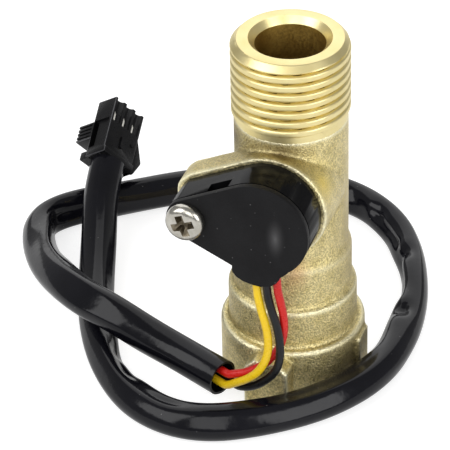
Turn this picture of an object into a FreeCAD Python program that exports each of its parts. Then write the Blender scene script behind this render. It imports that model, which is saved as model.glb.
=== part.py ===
import FreeCAD, Part
import math
import os
import Sketcher

# Water flow sensor for half inch pipework. Millimetres, flow axis on Z, inlet face on Z = 0,
# sensing clip on the -Y side.

Vector = FreeCAD.Vector
Rotation = FreeCAD.Rotation
Placement = FreeCAD.Placement

os.makedirs("parts", exist_ok=True)
doc = FreeCAD.newDocument("WaterFlowSensor")

SIZES = {
    # cast body
    "body_height": 68.5,
    "thread_radius": 10.4775,
    "thread_length": 14.0,
    "thread_lead": 1.2,
    "thread_pitch": 1.814,
    "thread_crest": 0.5,
    "thread_root": 0.3,
    "thread_minor": 9.3155,
    "tube_radius": 10.05,
    "collar_radius": 10.68,
    "collar_top": 27.6,
    "collar_taper": 1.6,
    "upper_ring_radius": 11.6,
    "upper_ring_top": 18.1,
    "lower_ring_radius": 13.05,
    "lower_ring_top": 10.4,
    "ring_round": 0.85,
    "outlet_radius": 6.2,
    "mouth_radius": 7.3,
    "mouth_depth": 1.05,
    "inlet_radius": 9.3155,
    "inlet_mouth_radius": 10.5,
    "inlet_depth": 12.6,
    "chamber_radius": 8.0,
    "chamber_above_magnet": 8.5,
    "lug_width": 8.2,
    "lug_reach": 16.2,
    "lug_height": 10.0,
    "lug_corner": 1.9,
    "side_lug_width": 5.2,
    "side_lug_reach": 13.5,
    "side_lug_height": 8.6,
    # pad and clip
    "clip_height": 41.0,
    "clip_offset": 0.3,
    "ear_distance": 12.8,
    "puck_radius": 9.2,
    "ear_radius": 3.75,
    "pad_border": 0.8,
    "pad_face": 12.3,
    "pad_thickness": 5.0,
    "back_plate": 4.1,
    "slot_gap": 2.3,
    "cover_thickness": 1.3,
    "slot_start": 9.1,
    "slot_end": 5.2,
    "lobe_left": 4.4,
    "lobe_right": 4.3,
    "lobe_bottom": 29.2,
    "lobe_depth": 3.4,
    "cavity_radius": 7.8,
    "board_radius": 7.6,
    "board_thickness": 1.0,
    "board_ledge": 1.2,
    "chip_width": 4.0,
    "chip_length": 3.0,
    "chip_thickness": 1.5,
    "capacitor_length": 2.0,
    "capacitor_width": 1.25,
    "capacitor_height": 0.9,
    # screw
    "screw_radius": 2.0,
    "screw_clearance": 0.15,
    "screw_length": 12.4,
    "head_radius": 3.5,
    "head_height": 2.4,
    "recess_reach": 2.0,
    "recess_width": 0.95,
    "recess_depth": 1.5,
    # turbine insert
    "ring_seat": 0.9,
    "snap_ring_height": 0.95,
    "snap_ring_depth": 0.6,
    "snap_ring_width": 1.5,
    "snap_ring_gap": 4.0,
    "screen_thickness": 0.7,
    "screen_hole": 0.65,
    "fit": 0.07,
    "flange_height": 4.6,
    "liner_wall": 0.98,
    "stator_wall": 1.2,
    "stator_hub": 2.7,
    "vane_thickness": 0.9,
    "o_ring_section": 0.66,
    "shaft_radius": 1.0,
    "bush_radius": 2.0,
    "bush_length": 3.4,
    "bush_proud": 0.9,
    "running_clearance": 0.03,
    "end_float": 0.35,
    "rotor_nose": 0.84,
    "blade_zone": 8.06,
    "rotor_hub": 2.9,
    "blade_clearance": 0.45,
    "blade_pitch": 34.0,
    "magnet_radius": 5.2,
    "magnet_length": 7.0,
    "flange_thickness": 0.7,
    "spider_height": 4.2,
    "spider_hub": 3.0,
    # leads, sleeve and plug
    "lead_radius": 0.75,
    "lead_pitch": 1.9,
    "lead_clearance": 0.15,
    "sleeve_radius": 3.4,
    "plug_half_width": 3.95,
    "plug_half_thickness": 2.45,
    "plug_length": 12.8,
    "plug_pitch": 2.5,
    "cavity_half": 0.85,
    "channel_length": 5.1,
    "side_hollow": 0.5,
    "wing_width": 3.2,
    "contact_wall": 0.25,
    "contact_length": 9.6,
    "contact_inset": 1.9,
    "tongue_length": 2.2,
    "tongue_thickness": 0.34,
}

# Route of the sleeve from its mouth beside the inlet, once round the body on the table, to the plug.
SLEEVE_ROUTE = [
    (-7.9, -16.6, 5.3),
    (-15.3, -13.3, 5.5),
    (-23.6, -11.6, 7.5),
    (-31.0, -10.6, 10.5),
    (-38.9, -7.4, 10.7),
    (-48.5, 2.6, 7.6),
    (-55.4, 13.6, 4.4),
    (-58.6, 22.0, 3.4),
    (-55.2, 28.2, 3.4),
    (-46.5, 34.4, 3.4),
    (-34.5, 43.2, 3.4),
    (-20.0, 49.8, 3.4),
    (-5.5, 49.4, 3.4),
    (5.5, 43.2, 3.4),
    (12.6, 32.5, 3.4),
    (16.8, 20.5, 3.4),
    (18.5, 8.0, 3.4),
    (17.2, -4.0, 3.4),
    (11.4, -14.4, 3.4),
    (2.0, -22.8, 3.4),
    (-8.5, -28.4, 3.4),
    (-19.5, -26.6, 3.4),
    (-29.5, -17.5, 3.4),
    (-36.8, -5.0, 3.4),
    (-41.4, 7.6, 3.6),
    (-44.9, 18.2, 5.8),
    (-47.9, 27.0, 9.3),
    (-48.6, 33.0, 11.9),
]

# Free stretches of the three leads, between the clip and the mouth of the sleeve.
YELLOW_ROUTE = [
    (0.0, -18.5, 24.6),
    (1.7, -19.2, 19.8),
    (1.9, -19.4, 15.0),
    (0.3, -19.4, 10.9),
    (-2.2, -19.0, 8.1),
    (-4.9, -18.3, 6.1),
]
BLACK_ROUTE = [
    (1.7, -18.1, 24.8),
    (3.3, -18.5, 20.4),
    (4.0, -18.8, 15.5),
    (3.3, -18.7, 11.2),
    (1.0, -18.3, 8.0),
    (-1.8, -17.9, 5.6),
    (-4.6, -17.3, 4.6),
]
RED_ROUTE = [
    (3.5, -17.2, 25.0),
    (4.1, -17.1, 21.2),
    (3.9, -17.0, 17.0),
    (2.5, -17.0, 13.5),
    (0.2, -17.1, 10.4),
    (-2.8, -17.4, 8.3),
    (-5.4, -17.3, 7.3),
]

# Where each lead enters the sleeve, as (towards the body, upwards) from the middle of its mouth.
YELLOW_SEAT = (-0.6, -0.55)
BLACK_SEAT = (1.2, -0.9)
RED_SEAT = (0.1, 1.5)


class Length:
    """A size that carries both its text for the sheet and its present value."""

    def __init__(self, text, value):
        self.text = text
        self.value = value

    def joined(self, sign, other, value):
        return Length("(%s %s %s)" % (self.text, sign, other.text), value)

    def __add__(self, other):
        other = length(other)
        return self.joined("+", other, self.value + other.value)

    def __sub__(self, other):
        other = length(other)
        return self.joined("-", other, self.value - other.value)

    def __rsub__(self, other):
        return length(other) - self

    def __mul__(self, other):
        other = length(other)
        return self.joined("*", other, self.value * other.value)

    def __neg__(self):
        return Length("(-1 * %s)" % self.text, -self.value)


def length(value):
    return value if isinstance(value, Length) else Length("%.6f" % value, float(value))


def size(name):
    return Length("Sizes.%s" % name, SIZES[name])


ZERO = length(0)


def make_sheet():
    sheet = doc.addObject("Spreadsheet::Sheet", "Sizes")
    for row, (name, value) in enumerate(SIZES.items(), start=1):
        sheet.set("A%d" % row, name)
        sheet.set("B%d" % row, "%s" % value)
        sheet.setAlias("B%d" % row, name)
    doc.recompute()
    return sheet


def new_body(label, placement=None):
    body = doc.addObject("PartDesign::Body", label)
    body.Label = label
    body.Placement = placement or Placement()
    return body


def origin_plane(body, role):
    return next(item for item in body.Origin.OriginFeatures if item.Role == role)


def new_sketch(body, name, role="XZ_Plane", offset=None):
    """A sketch on one of the body's own planes, moved along the plane's normal by offset."""
    sketch = body.newObject("Sketcher::SketchObject", name)
    sketch.AttachmentSupport = [(origin_plane(body, role), "")]
    sketch.MapMode = "FlatFace"
    if offset is not None:
        sketch.AttachmentOffset = Placement(Vector(0, 0, offset.value), Rotation())
        sketch.setExpression("AttachmentOffset.Base.z", offset.text)
    return sketch


def bind(sketch, kind, geometry, value):
    index = sketch.addConstraint(Sketcher.Constraint(kind, *geometry, abs(value.value)))
    text = value.text if value.value >= 0 else (-value).text
    sketch.setExpression("Constraints[%d]" % index, text)


def place_point(sketch, geometry, point, corner):
    """Tie one point of a sketch to the sketch's origin by its two coordinates."""
    for kind, axis, value in (("DistanceX", -2, corner[0]), ("DistanceY", -1, corner[1])):
        if value.text == ZERO.text:
            sketch.addConstraint(Sketcher.Constraint("PointOnObject", geometry, point, axis))
        elif value.value >= 0:
            bind(sketch, kind, (-1, 1, geometry, point), value)
        else:
            bind(sketch, kind, (geometry, point, -1, 1), value)


def draw_polygon(sketch, corners):
    corners = [(length(x), length(y)) for x, y in corners]
    points = [Vector(x.value, y.value, 0) for x, y in corners]
    first = sketch.GeometryCount
    count = len(points)
    for index in range(count):
        sketch.addGeometry(Part.LineSegment(points[index], points[(index + 1) % count]), False)
    for index in range(count):
        following = first + (index + 1) % count
        sketch.addConstraint(Sketcher.Constraint("Coincident", first + index, 2, following, 1))
    for index, corner in enumerate(corners):
        place_point(sketch, first + index, 1, corner)
    return sketch


def draw_box(sketch, left, bottom, right, top):
    return draw_polygon(sketch, [(left, bottom), (right, bottom), (right, top), (left, top)])


def draw_circle(sketch, centre, radius):
    x, y = length(centre[0]), length(centre[1])
    radius = length(radius)
    circle = Part.Circle(Vector(x.value, y.value, 0), Vector(0, 0, 1), radius.value)
    index = sketch.addGeometry(circle, False)
    place_point(sketch, index, 3, (x, y))
    bind(sketch, "Radius", (index,), radius)
    return sketch


def draw_teardrop(sketch, border):
    """Outline of the clip: a large circle and a small one joined by their two outer tangents."""
    big, small = size("puck_radius") + border, size("ear_radius") + border
    middle, ear = size("clip_offset"), size("clip_offset") - size("ear_distance")
    level = size("clip_height")
    half = math.acos((big.value - small.value) / (middle.value - ear.value))
    arcs = (
        (middle, big, math.pi + half, 3 * math.pi - half),
        (ear, small, math.pi - half, math.pi + half),
    )
    centres = [Vector(x.value, level.value, 0) for x, _, _, _ in arcs]
    ends = []
    for (x, radius, start, stop), centre in zip(arcs, centres):
        circle = Part.Circle(centre, Vector(0, 0, 1), radius.value)
        ends.append([centre + Vector(math.cos(a), math.sin(a), 0) * radius.value for a in (start, stop)])
        sketch.addGeometry(Part.ArcOfCircle(circle, start, stop), False)
    sketch.addGeometry(Part.LineSegment(ends[0][1], ends[1][0]), False)
    sketch.addGeometry(Part.LineSegment(ends[1][1], ends[0][0]), False)
    for pair in ((0, 2, 2, 1), (2, 2, 1, 1), (1, 2, 3, 1), (3, 2, 0, 1)):
        sketch.addConstraint(Sketcher.Constraint("Tangent", *pair))
    for index, (x, radius, start, stop) in enumerate(arcs):
        place_point(sketch, index, 3, (x, level))
        bind(sketch, "Radius", (index,), radius)
    return sketch


def add_feature(body, kind, name, sketch):
    feature = body.newObject("PartDesign::" + kind, name)
    feature.Profile = sketch
    sketch.Visibility = False
    return feature


def pad(body, name, sketch, depth, backwards=False):
    feature = add_feature(body, "Pad", name, sketch)
    depth = length(depth)
    feature.Length = depth.value
    feature.setExpression("Length", depth.text)
    feature.Reversed = backwards
    return feature


def pocket(body, name, sketch, depth, backwards=False):
    feature = add_feature(body, "Pocket", name, sketch)
    depth = length(depth)
    feature.Length = depth.value
    feature.setExpression("Length", depth.text)
    feature.Reversed = backwards
    return feature


def revolve(body, name, sketch, kind="Revolution"):
    feature = add_feature(body, kind, name, sketch)
    feature.ReferenceAxis = (sketch, ["V_Axis"])
    feature.Angle = 360
    return feature


def helix(body, name, sketch, pitch, rise):
    feature = add_feature(body, "AdditiveHelix", name, sketch)
    feature.ReferenceAxis = (sketch, ["V_Axis"])
    feature.Mode = 0
    feature.setExpression("Pitch", pitch.text)
    feature.setExpression("Height", rise.text)
    feature.Pitch = pitch.value
    feature.Height = rise.value
    return feature


def polar(body, name, feature, count, sketch, axis="N_Axis"):
    pattern = body.newObject("PartDesign::PolarPattern", name)
    pattern.Originals = [feature]
    pattern.Axis = (sketch, [axis])
    pattern.Angle = 360
    pattern.Occurrences = count
    body.Tip = pattern
    return pattern


def linear(body, name, feature, sketch, pitch, count):
    """Repeats a feature upwards along the sketch's own upright axis, one pitch apart."""
    pattern = body.newObject("PartDesign::LinearPattern", name)
    pattern.Originals = [feature]
    pattern.Direction = (sketch, ["V_Axis"])
    pattern.Occurrences = count
    pattern.Length = pitch.value * (count - 1)
    pattern.setExpression("Length", (pitch * (count - 1)).text)
    body.Tip = pattern
    return pattern


def round_edges(body, name, radius, wanted, kind="Fillet"):
    """Fillet or chamfer of the tip's edges for which wanted(edge) is true."""
    doc.recompute()
    tip = body.Tip
    names = ["Edge%d" % (n + 1) for n, edge in enumerate(tip.Shape.Edges) if wanted(edge)]
    if not names:
        raise RuntimeError("no edge for " + name)
    feature = body.newObject("PartDesign::" + kind, name)
    feature.Base = (tip, names)
    parameter = "Radius" if kind == "Fillet" else "Size"
    radius = length(radius)
    setattr(feature, parameter, radius.value)
    feature.setExpression(parameter, radius.text)
    return feature


def is_ring(edge, radius, level):
    """True for a round edge about Z of this radius at this height."""
    curve = edge.Curve
    if curve.TypeId != "Part::GeomCircle":
        return False
    return abs(curve.Radius - radius.value) < 1e-4 and abs(curve.Center.z - level.value) < 1e-4


def in_plane_y(edge, level):
    box = edge.BoundBox
    return abs(box.YMin + level.value) < 1e-4 and abs(box.YMax + level.value) < 1e-4


make_sheet()

# heights and depths that several pieces share
THREAD_START = size("body_height") - size("thread_length")
EAR_X = size("clip_offset") - size("ear_distance")
CLIP_Z = size("clip_height")
SLOT_FACE = size("pad_face") + size("back_plate")
COVER_BACK = SLOT_FACE + size("slot_gap")
COVER_FRONT = COVER_BACK + size("cover_thickness")
LEAD_PLANE = COVER_BACK - 1.4
BOARD_FRONT = LEAD_PLANE - size("lead_radius")
BOARD_BACK = BOARD_FRONT - size("board_thickness")
CAVITY_BACK = BOARD_BACK - size("chip_thickness") - 0.1
RING_LEVEL = size("inlet_depth") + size("ring_seat")
SCREEN_BOTTOM = RING_LEVEL + size("snap_ring_height") + size("fit")
STATOR_BOTTOM = SCREEN_BOTTOM + size("screen_thickness") + size("fit")
LINER_BOTTOM = STATOR_BOTTOM + size("flange_height") + size("fit")
MAGNET_TOP = CLIP_Z + size("magnet_length") * 0.5
MAGNET_BOTTOM = CLIP_Z - size("magnet_length") * 0.5
CHAMBER_TOP = MAGNET_TOP + size("chamber_above_magnet")
LINER_TOP = CHAMBER_TOP - size("fit")
LINER_OUTSIDE = size("chamber_radius") - size("fit")
LINER_INSIDE = LINER_OUTSIDE - size("liner_wall")
INSERT_RADIUS = LINER_INSIDE - size("fit")
FLOW_RADIUS = INSERT_RADIUS - size("stator_wall")
ROTOR_BOTTOM = MAGNET_BOTTOM - size("flange_thickness") - size("blade_zone")
ROTOR_TOP = MAGNET_TOP + size("rotor_nose")
LOWER_BUSH_TOP = ROTOR_BOTTOM - size("end_float")
STATOR_TOP = LOWER_BUSH_TOP - size("bush_proud")
UPPER_BUSH_BOTTOM = ROTOR_TOP + size("end_float")
UPPER_BUSH_TOP = UPPER_BUSH_BOTTOM + size("bush_length")
SPIDER_BOTTOM = LINER_TOP - size("spider_height")
BUSH_BORE = size("shaft_radius") + size("running_clearance")
TONGUE_INNER = size("cavity_half") - size("tongue_thickness") - 0.05


def build_flow_body():
    body = new_body("flow_body")
    outside = draw_polygon(new_sketch(body, "BodyOutside"), [
        (0, 0),
        (size("lower_ring_radius"), 0),
        (size("lower_ring_radius"), size("lower_ring_top")),
        (size("upper_ring_radius"), size("lower_ring_top")),
        (size("upper_ring_radius"), size("upper_ring_top")),
        (size("collar_radius"), size("upper_ring_top")),
        (size("collar_radius"), size("collar_top") - size("collar_taper")),
        (size("tube_radius"), size("collar_top")),
        (size("tube_radius"), THREAD_START),
        (size("thread_radius"), THREAD_START + (size("thread_radius") - size("tube_radius"))),
        (size("thread_radius"), size("body_height") - size("thread_lead")),
        (size("thread_radius") - size("thread_lead"), size("body_height")),
        (0, size("body_height")),
    ])
    revolve(body, "BodyTurned", outside)
    round_edges(body, "RingShoulders", size("ring_round"), lambda edge: (
        is_ring(edge, size("lower_ring_radius"), size("lower_ring_top"))
        or is_ring(edge, size("upper_ring_radius"), size("upper_ring_top"))))

    flat = draw_teardrop(new_sketch(body, "PadOutline", "XZ_Plane", size("pad_face")), size("pad_border"))
    pad(body, "MountingPad", flat, size("pad_thickness"), backwards=True)
    seat = new_sketch(body, "PadRoot", "XZ_Plane", size("pad_face"))
    draw_circle(seat, (size("clip_offset"), CLIP_Z), size("puck_radius") + size("pad_border"))
    pad(body, "PadRootBoss", seat, size("pad_face") - 1.0, backwards=True)

    half, top, corner = size("lug_width") * 0.5, size("lug_height"), size("lug_corner")
    lug = draw_polygon(new_sketch(body, "FrontLugOutline", "XZ_Plane", size("lug_reach")), [
        (-half, 0), (half, 0), (half, top - corner), (half - corner, top),
        (corner - half, top), (-half, top - corner),
    ])
    pad(body, "FrontLug", lug, size("lug_reach") - size("inlet_mouth_radius"), backwards=True)
    side = draw_box(new_sketch(body, "SideLugOutline", "XY_Plane"),
                    size("inlet_mouth_radius"), size("side_lug_width") * -0.5,
                    size("side_lug_reach"), size("side_lug_width") * 0.5)
    pad(body, "SideLug", side, size("side_lug_height"))

    inside = draw_polygon(new_sketch(body, "BodyInside"), [
        (0, 0),
        (size("inlet_mouth_radius"), 0),
        (size("inlet_radius"), size("inlet_mouth_radius") - size("inlet_radius")),
        (size("inlet_radius"), size("inlet_depth")),
        (size("chamber_radius"), size("inlet_depth")),
        (size("chamber_radius"), RING_LEVEL - size("fit")),
        (size("chamber_radius") + size("snap_ring_depth"), RING_LEVEL - size("fit")),
        (size("chamber_radius") + size("snap_ring_depth"), SCREEN_BOTTOM),
        (size("chamber_radius"), SCREEN_BOTTOM),
        (size("chamber_radius"), CHAMBER_TOP),
        (size("outlet_radius"), CHAMBER_TOP),
        (size("outlet_radius"), size("body_height") - size("mouth_depth")),
        (size("mouth_radius"), size("body_height")),
        (0, size("body_height")),
    ])
    revolve(body, "BodyBored", inside, "Groove")
    half_pitch, crest = size("thread_pitch") * 0.5, size("thread_crest") * 0.5
    bottom = THREAD_START + crest
    root = half_pitch - size("thread_root") * 0.5
    cut = draw_polygon(new_sketch(body, "ThreadGroove"), [
        (size("thread_radius") + 0.2, bottom - 0.12),
        (size("thread_minor"), THREAD_START + root),
        (size("thread_minor"), THREAD_START + size("thread_pitch") - root),
        (size("thread_radius") + 0.2, THREAD_START + size("thread_pitch") - crest + 0.12),
    ])
    first = revolve(body, "FirstThreadGroove", cut, "Groove")
    linear(body, "ThreadGrooves", first, cut, size("thread_pitch"), 7)
    tapped = new_sketch(body, "TappedHole", "XZ_Plane", size("pad_face"))
    draw_circle(tapped, (EAR_X, CLIP_Z), size("screw_radius") + 0.02)
    pocket(body, "TappedThrough", tapped, size("pad_thickness") + 1.0)
    return body


def build_retaining_ring():
    body = new_body("retaining_ring")
    outer = size("chamber_radius") + size("snap_ring_depth") - size("fit")
    ring = draw_box(new_sketch(body, "RingSection"), outer - size("snap_ring_width"), RING_LEVEL,
                    outer, RING_LEVEL + size("snap_ring_height"))
    revolve(body, "RingTurned", ring)
    gap = draw_box(new_sketch(body, "RingGapOutline", "XY_Plane", RING_LEVEL),
                   size("snap_ring_gap") * -0.5, 0, size("snap_ring_gap") * 0.5, outer + 1.0)
    pocket(body, "RingGap", gap, size("snap_ring_height"), backwards=True)
    return body


def build_filter_screen():
    body = new_body("filter_screen")
    disc = draw_circle(new_sketch(body, "ScreenOutline", "XY_Plane", SCREEN_BOTTOM), (0, 0), LINER_OUTSIDE)
    pad(body, "ScreenDisc", disc, size("screen_thickness"))
    middle = draw_circle(new_sketch(body, "MiddleHole", "XY_Plane", SCREEN_BOTTOM), (0, 0),
                         size("screen_hole"))
    pocket(body, "MiddleHoleCut", middle, size("screen_thickness"), backwards=True)
    for row, (reach, count) in enumerate(((0.26, 6), (0.52, 12), (0.78, 18)), start=1):
        sketch = new_sketch(body, "HoleRow%d" % row, "XY_Plane", SCREEN_BOTTOM)
        draw_circle(sketch, (LINER_OUTSIDE * reach, 0), size("screen_hole"))
        cut = pocket(body, "HoleRowCut%d" % row, sketch, size("screen_thickness"), backwards=True)
        polar(body, "HoleRowTurned%d" % row, cut, count, sketch)
    return body


def build_inlet_stator():
    body = new_body("inlet_stator")
    groove_level = STATOR_BOTTOM + size("flange_height") * 0.5
    groove_half = size("o_ring_section") + 0.15
    groove_floor = LINER_OUTSIDE - size("o_ring_section") * 2 + 0.05
    ring = draw_polygon(new_sketch(body, "StatorRing"), [
        (FLOW_RADIUS, STATOR_BOTTOM),
        (LINER_OUTSIDE, STATOR_BOTTOM),
        (LINER_OUTSIDE, groove_level - groove_half),
        (groove_floor, groove_level - groove_half),
        (groove_floor, groove_level + groove_half),
        (LINER_OUTSIDE, groove_level + groove_half),
        (LINER_OUTSIDE, STATOR_BOTTOM + size("flange_height")),
        (INSERT_RADIUS, STATOR_BOTTOM + size("flange_height")),
        (INSERT_RADIUS, STATOR_TOP),
        (FLOW_RADIUS, STATOR_TOP),
    ])
    revolve(body, "StatorRingTurned", ring)
    vane_bottom = STATOR_BOTTOM + 1.5
    vane = draw_box(new_sketch(body, "VaneSection"), size("stator_hub") - 0.4, vane_bottom,
                    FLOW_RADIUS + 0.3, vane_bottom + size("vane_thickness"))
    swirl = helix(body, "SwirlVane", vane, size("blade_pitch"), STATOR_TOP - STATOR_BOTTOM - 5.0)
    polar(body, "SwirlVanes", swirl, 4, vane, "V_Axis")
    seat_bottom = LOWER_BUSH_TOP - size("bush_length")
    hub = draw_polygon(new_sketch(body, "StatorHub"), [
        (0, STATOR_BOTTOM + 0.4),
        (size("stator_hub") * 0.5, STATOR_BOTTOM + 0.8),
        (size("stator_hub"), STATOR_BOTTOM + 2.2),
        (size("stator_hub"), STATOR_TOP),
        (size("bush_radius"), STATOR_TOP),
        (size("bush_radius"), seat_bottom),
        (size("shaft_radius") + 0.2, seat_bottom),
        (size("shaft_radius") + 0.2, seat_bottom - 0.8),
        (0, seat_bottom - 0.8),
    ])
    revolve(body, "StatorHubTurned", hub)
    return body


def build_o_ring():
    body = new_body("insert_o_ring")
    reach = size("chamber_radius") - size("o_ring_section") - 0.02
    level = STATOR_BOTTOM + size("flange_height") * 0.5
    section = draw_circle(new_sketch(body, "SealSection"), (reach, level), size("o_ring_section"))
    revolve(body, "SealTurned", section)
    return body


def build_turned(label, corners):
    """A plain turned piece about Z, given by its half section."""
    body = new_body(label)
    revolve(body, label + "_turned", draw_polygon(new_sketch(body, label + "_section"), corners))
    return body


def build_tube(label, inner, outer, bottom, top):
    return build_turned(label, [(inner, bottom), (outer, bottom), (outer, top), (inner, top)])


def build_turbine_rotor():
    hub, bore = size("rotor_hub"), size("shaft_radius")
    body = build_turned("turbine_rotor", [
        (bore, ROTOR_BOTTOM),
        (hub - 0.8, ROTOR_BOTTOM),
        (hub, ROTOR_BOTTOM + 0.8),
        (hub, MAGNET_BOTTOM - size("flange_thickness")),
        (size("magnet_radius"), MAGNET_BOTTOM - size("flange_thickness")),
        (size("magnet_radius"), MAGNET_BOTTOM),
        (hub, MAGNET_BOTTOM),
        (hub, ROTOR_TOP),
        (bore, ROTOR_TOP),
    ])
    low = ROTOR_BOTTOM + 0.9
    blade = draw_box(new_sketch(body, "BladeSection"), hub - 0.4, low,
                     LINER_INSIDE - size("blade_clearance"), low + size("vane_thickness"))
    rise = MAGNET_BOTTOM - size("flange_thickness") - low - 1.3
    turned = helix(body, "Blade", blade, size("blade_pitch"), rise)
    polar(body, "Blades", turned, 4, blade, "V_Axis")
    return body


def build_outlet_spider():
    hub = size("spider_hub")
    roof = UPPER_BUSH_TOP + 0.8
    body = build_turned("outlet_spider", [
        (size("bush_radius"), UPPER_BUSH_BOTTOM + size("bush_proud")),
        (hub, UPPER_BUSH_BOTTOM + size("bush_proud")),
        (hub, roof),
        (hub - 1.0, roof + 1.0),
        (0, roof + 1.0),
        (0, roof),
        (size("shaft_radius") + 0.2, roof),
        (size("shaft_radius") + 0.2, UPPER_BUSH_TOP),
        (size("bush_radius"), UPPER_BUSH_TOP),
    ])
    leg = draw_box(new_sketch(body, "LegOutline", "XY_Plane", SPIDER_BOTTOM), hub - 0.4,
                   size("vane_thickness") * -0.5, FLOW_RADIUS + 0.3, size("vane_thickness") * 0.5)
    limb = pad(body, "Leg", leg, size("spider_height") - 1.4)
    polar(body, "Legs", limb, 3, leg)
    rim = draw_box(new_sketch(body, "RimSection"), FLOW_RADIUS, SPIDER_BOTTOM, INSERT_RADIUS, LINER_TOP)
    revolve(body, "RimTurned", rim)
    return body


def draw_lobe(sketch):
    """The rounded tab below the puck that the leads come out of, lower and fuller on its left."""
    left, right, low = -size("lobe_left"), size("lobe_right"), size("lobe_bottom")
    return draw_polygon(sketch, [
        (left, CLIP_Z - 7.0), (left, low + 2.3), (left + 0.6, low + 1.3), (left + 1.6, low + 0.6),
        (left + 3.3, low + 0.15), (left + 5.3, low), (right - 1.6, low + 0.5), (right - 0.7, low + 1.3),
        (right, low + 2.5), (right + 1.6, low + 4.0), (right + 1.6, CLIP_Z - 7.0),
    ])


def build_sensor_base():
    body = new_body("sensor_base")
    plate = draw_teardrop(new_sketch(body, "BasePlateOutline", "XZ_Plane", size("pad_face")), ZERO)
    pad(body, "BasePlate", plate, size("back_plate") + size("slot_gap"))
    lobe = draw_lobe(new_sketch(body, "BaseLobeOutline", "XZ_Plane", COVER_BACK))
    pad(body, "BaseLobe", lobe, size("lobe_depth"), backwards=True)
    slot = draw_box(new_sketch(body, "SlotOutline", "XZ_Plane", COVER_BACK),
                    -size("slot_start"), CLIP_Z - size("puck_radius"),
                    -size("slot_end"), CLIP_Z + size("puck_radius"))
    pocket(body, "Slot", slot, size("slot_gap"))
    cavity = new_sketch(body, "CavityOutline", "XZ_Plane", COVER_BACK)
    draw_circle(cavity, (size("clip_offset"), CLIP_Z), size("cavity_radius"))
    pocket(body, "Cavity", cavity, COVER_BACK - BOARD_BACK)
    well = new_sketch(body, "WellOutline", "XZ_Plane", BOARD_BACK)
    draw_circle(well, (size("clip_offset"), CLIP_Z), size("board_radius") - size("board_ledge"))
    pocket(body, "Well", well, BOARD_BACK - CAVITY_BACK)
    hole = new_sketch(body, "ScrewHoleOutline", "XZ_Plane", COVER_BACK)
    draw_circle(hole, (EAR_X, CLIP_Z), size("screw_radius") + size("screw_clearance"))
    pocket(body, "ScrewHole", hole, size("back_plate") + size("slot_gap"))
    room = size("lead_radius") + size("lead_clearance")
    way_out = draw_box(new_sketch(body, "LeadSlotOutline", "XY_Plane", size("lobe_bottom")),
                       lead_x(-1) - room, -LEAD_PLANE - room, lead_x(1) + room, room - LEAD_PLANE)
    pocket(body, "LeadSlot", way_out, CLIP_Z - size("lobe_bottom") - 5.0, backwards=True)
    return body


def lead_x(place):
    """Where a lead leaves the clip: yellow at -1, black at 0, red at 1."""
    return size("clip_offset") + 0.6 + size("lead_pitch") * place


def build_sensor_cover():
    body = new_body("sensor_cover")
    plate = draw_teardrop(new_sketch(body, "CoverOutline", "XZ_Plane", COVER_BACK), ZERO)
    pad(body, "CoverPlate", plate, size("cover_thickness"))
    lobe = draw_lobe(new_sketch(body, "CoverLobeOutline", "XZ_Plane", COVER_BACK))
    pad(body, "CoverLobe", lobe, size("cover_thickness"))
    round_edges(body, "CoverRim", 0.35, lambda edge: in_plane_y(edge, COVER_FRONT))
    hole = new_sketch(body, "CoverHoleOutline", "XZ_Plane", COVER_FRONT)
    draw_circle(hole, (EAR_X, CLIP_Z), size("screw_radius") + size("screw_clearance"))
    pocket(body, "CoverHole", hole, size("cover_thickness"))
    return body


def build_hall_board():
    body = new_body("hall_board")
    disc = new_sketch(body, "BoardOutline", "XZ_Plane", BOARD_BACK)
    draw_circle(disc, (size("clip_offset"), CLIP_Z), size("board_radius"))
    pad(body, "BoardDisc", disc, size("board_thickness"))
    return body


def build_chip(label, centre, across, along, face, thickness, backwards):
    """A small block on the board, with its middle at centre and its foot on the board's face."""
    body = new_body(label)
    x, z = centre
    outline = draw_box(new_sketch(body, label + "_outline", "XZ_Plane", face),
                       x - across * 0.5, z - along * 0.5, x + across * 0.5, z + along * 0.5)
    pad(body, label + "_block", outline, thickness, backwards)
    return body


def build_clamp_screw():
    place = Placement(Vector(EAR_X.value, -COVER_FRONT.value, CLIP_Z.value), Rotation(Vector(1, 0, 0), 90))
    body = new_body("clamp_screw", place)
    body.setExpression("Placement.Base.x", EAR_X.text)
    body.setExpression("Placement.Base.y", (-COVER_FRONT).text)
    body.setExpression("Placement.Base.z", CLIP_Z.text)
    radius, head = size("screw_radius"), size("head_radius")
    section = draw_polygon(new_sketch(body, "ScrewSection"), [
        (0, -size("screw_length")),
        (radius - 0.4, -size("screw_length")),
        (radius, 0.4 - size("screw_length")),
        (radius, 0),
        (head, 0),
        (head, size("head_height")),
        (0, size("head_height")),
    ])
    revolve(body, "ScrewTurned", section)
    round_edges(body, "HeadRound", size("head_height") * 0.62,
                lambda edge: is_ring(edge, head, size("head_height")))
    reach, half = size("recess_reach"), size("recess_width") * 0.5
    cross = draw_polygon(new_sketch(body, "RecessOutline", "XY_Plane", size("head_height")), [
        (half, half), (half, reach), (-half, reach), (-half, half), (-reach, half), (-reach, -half),
        (-half, -half), (-half, -reach), (half, -reach), (half, -half), (reach, -half), (reach, half),
    ])
    pocket(body, "Recess", cross, size("recess_depth"))
    return body


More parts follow.
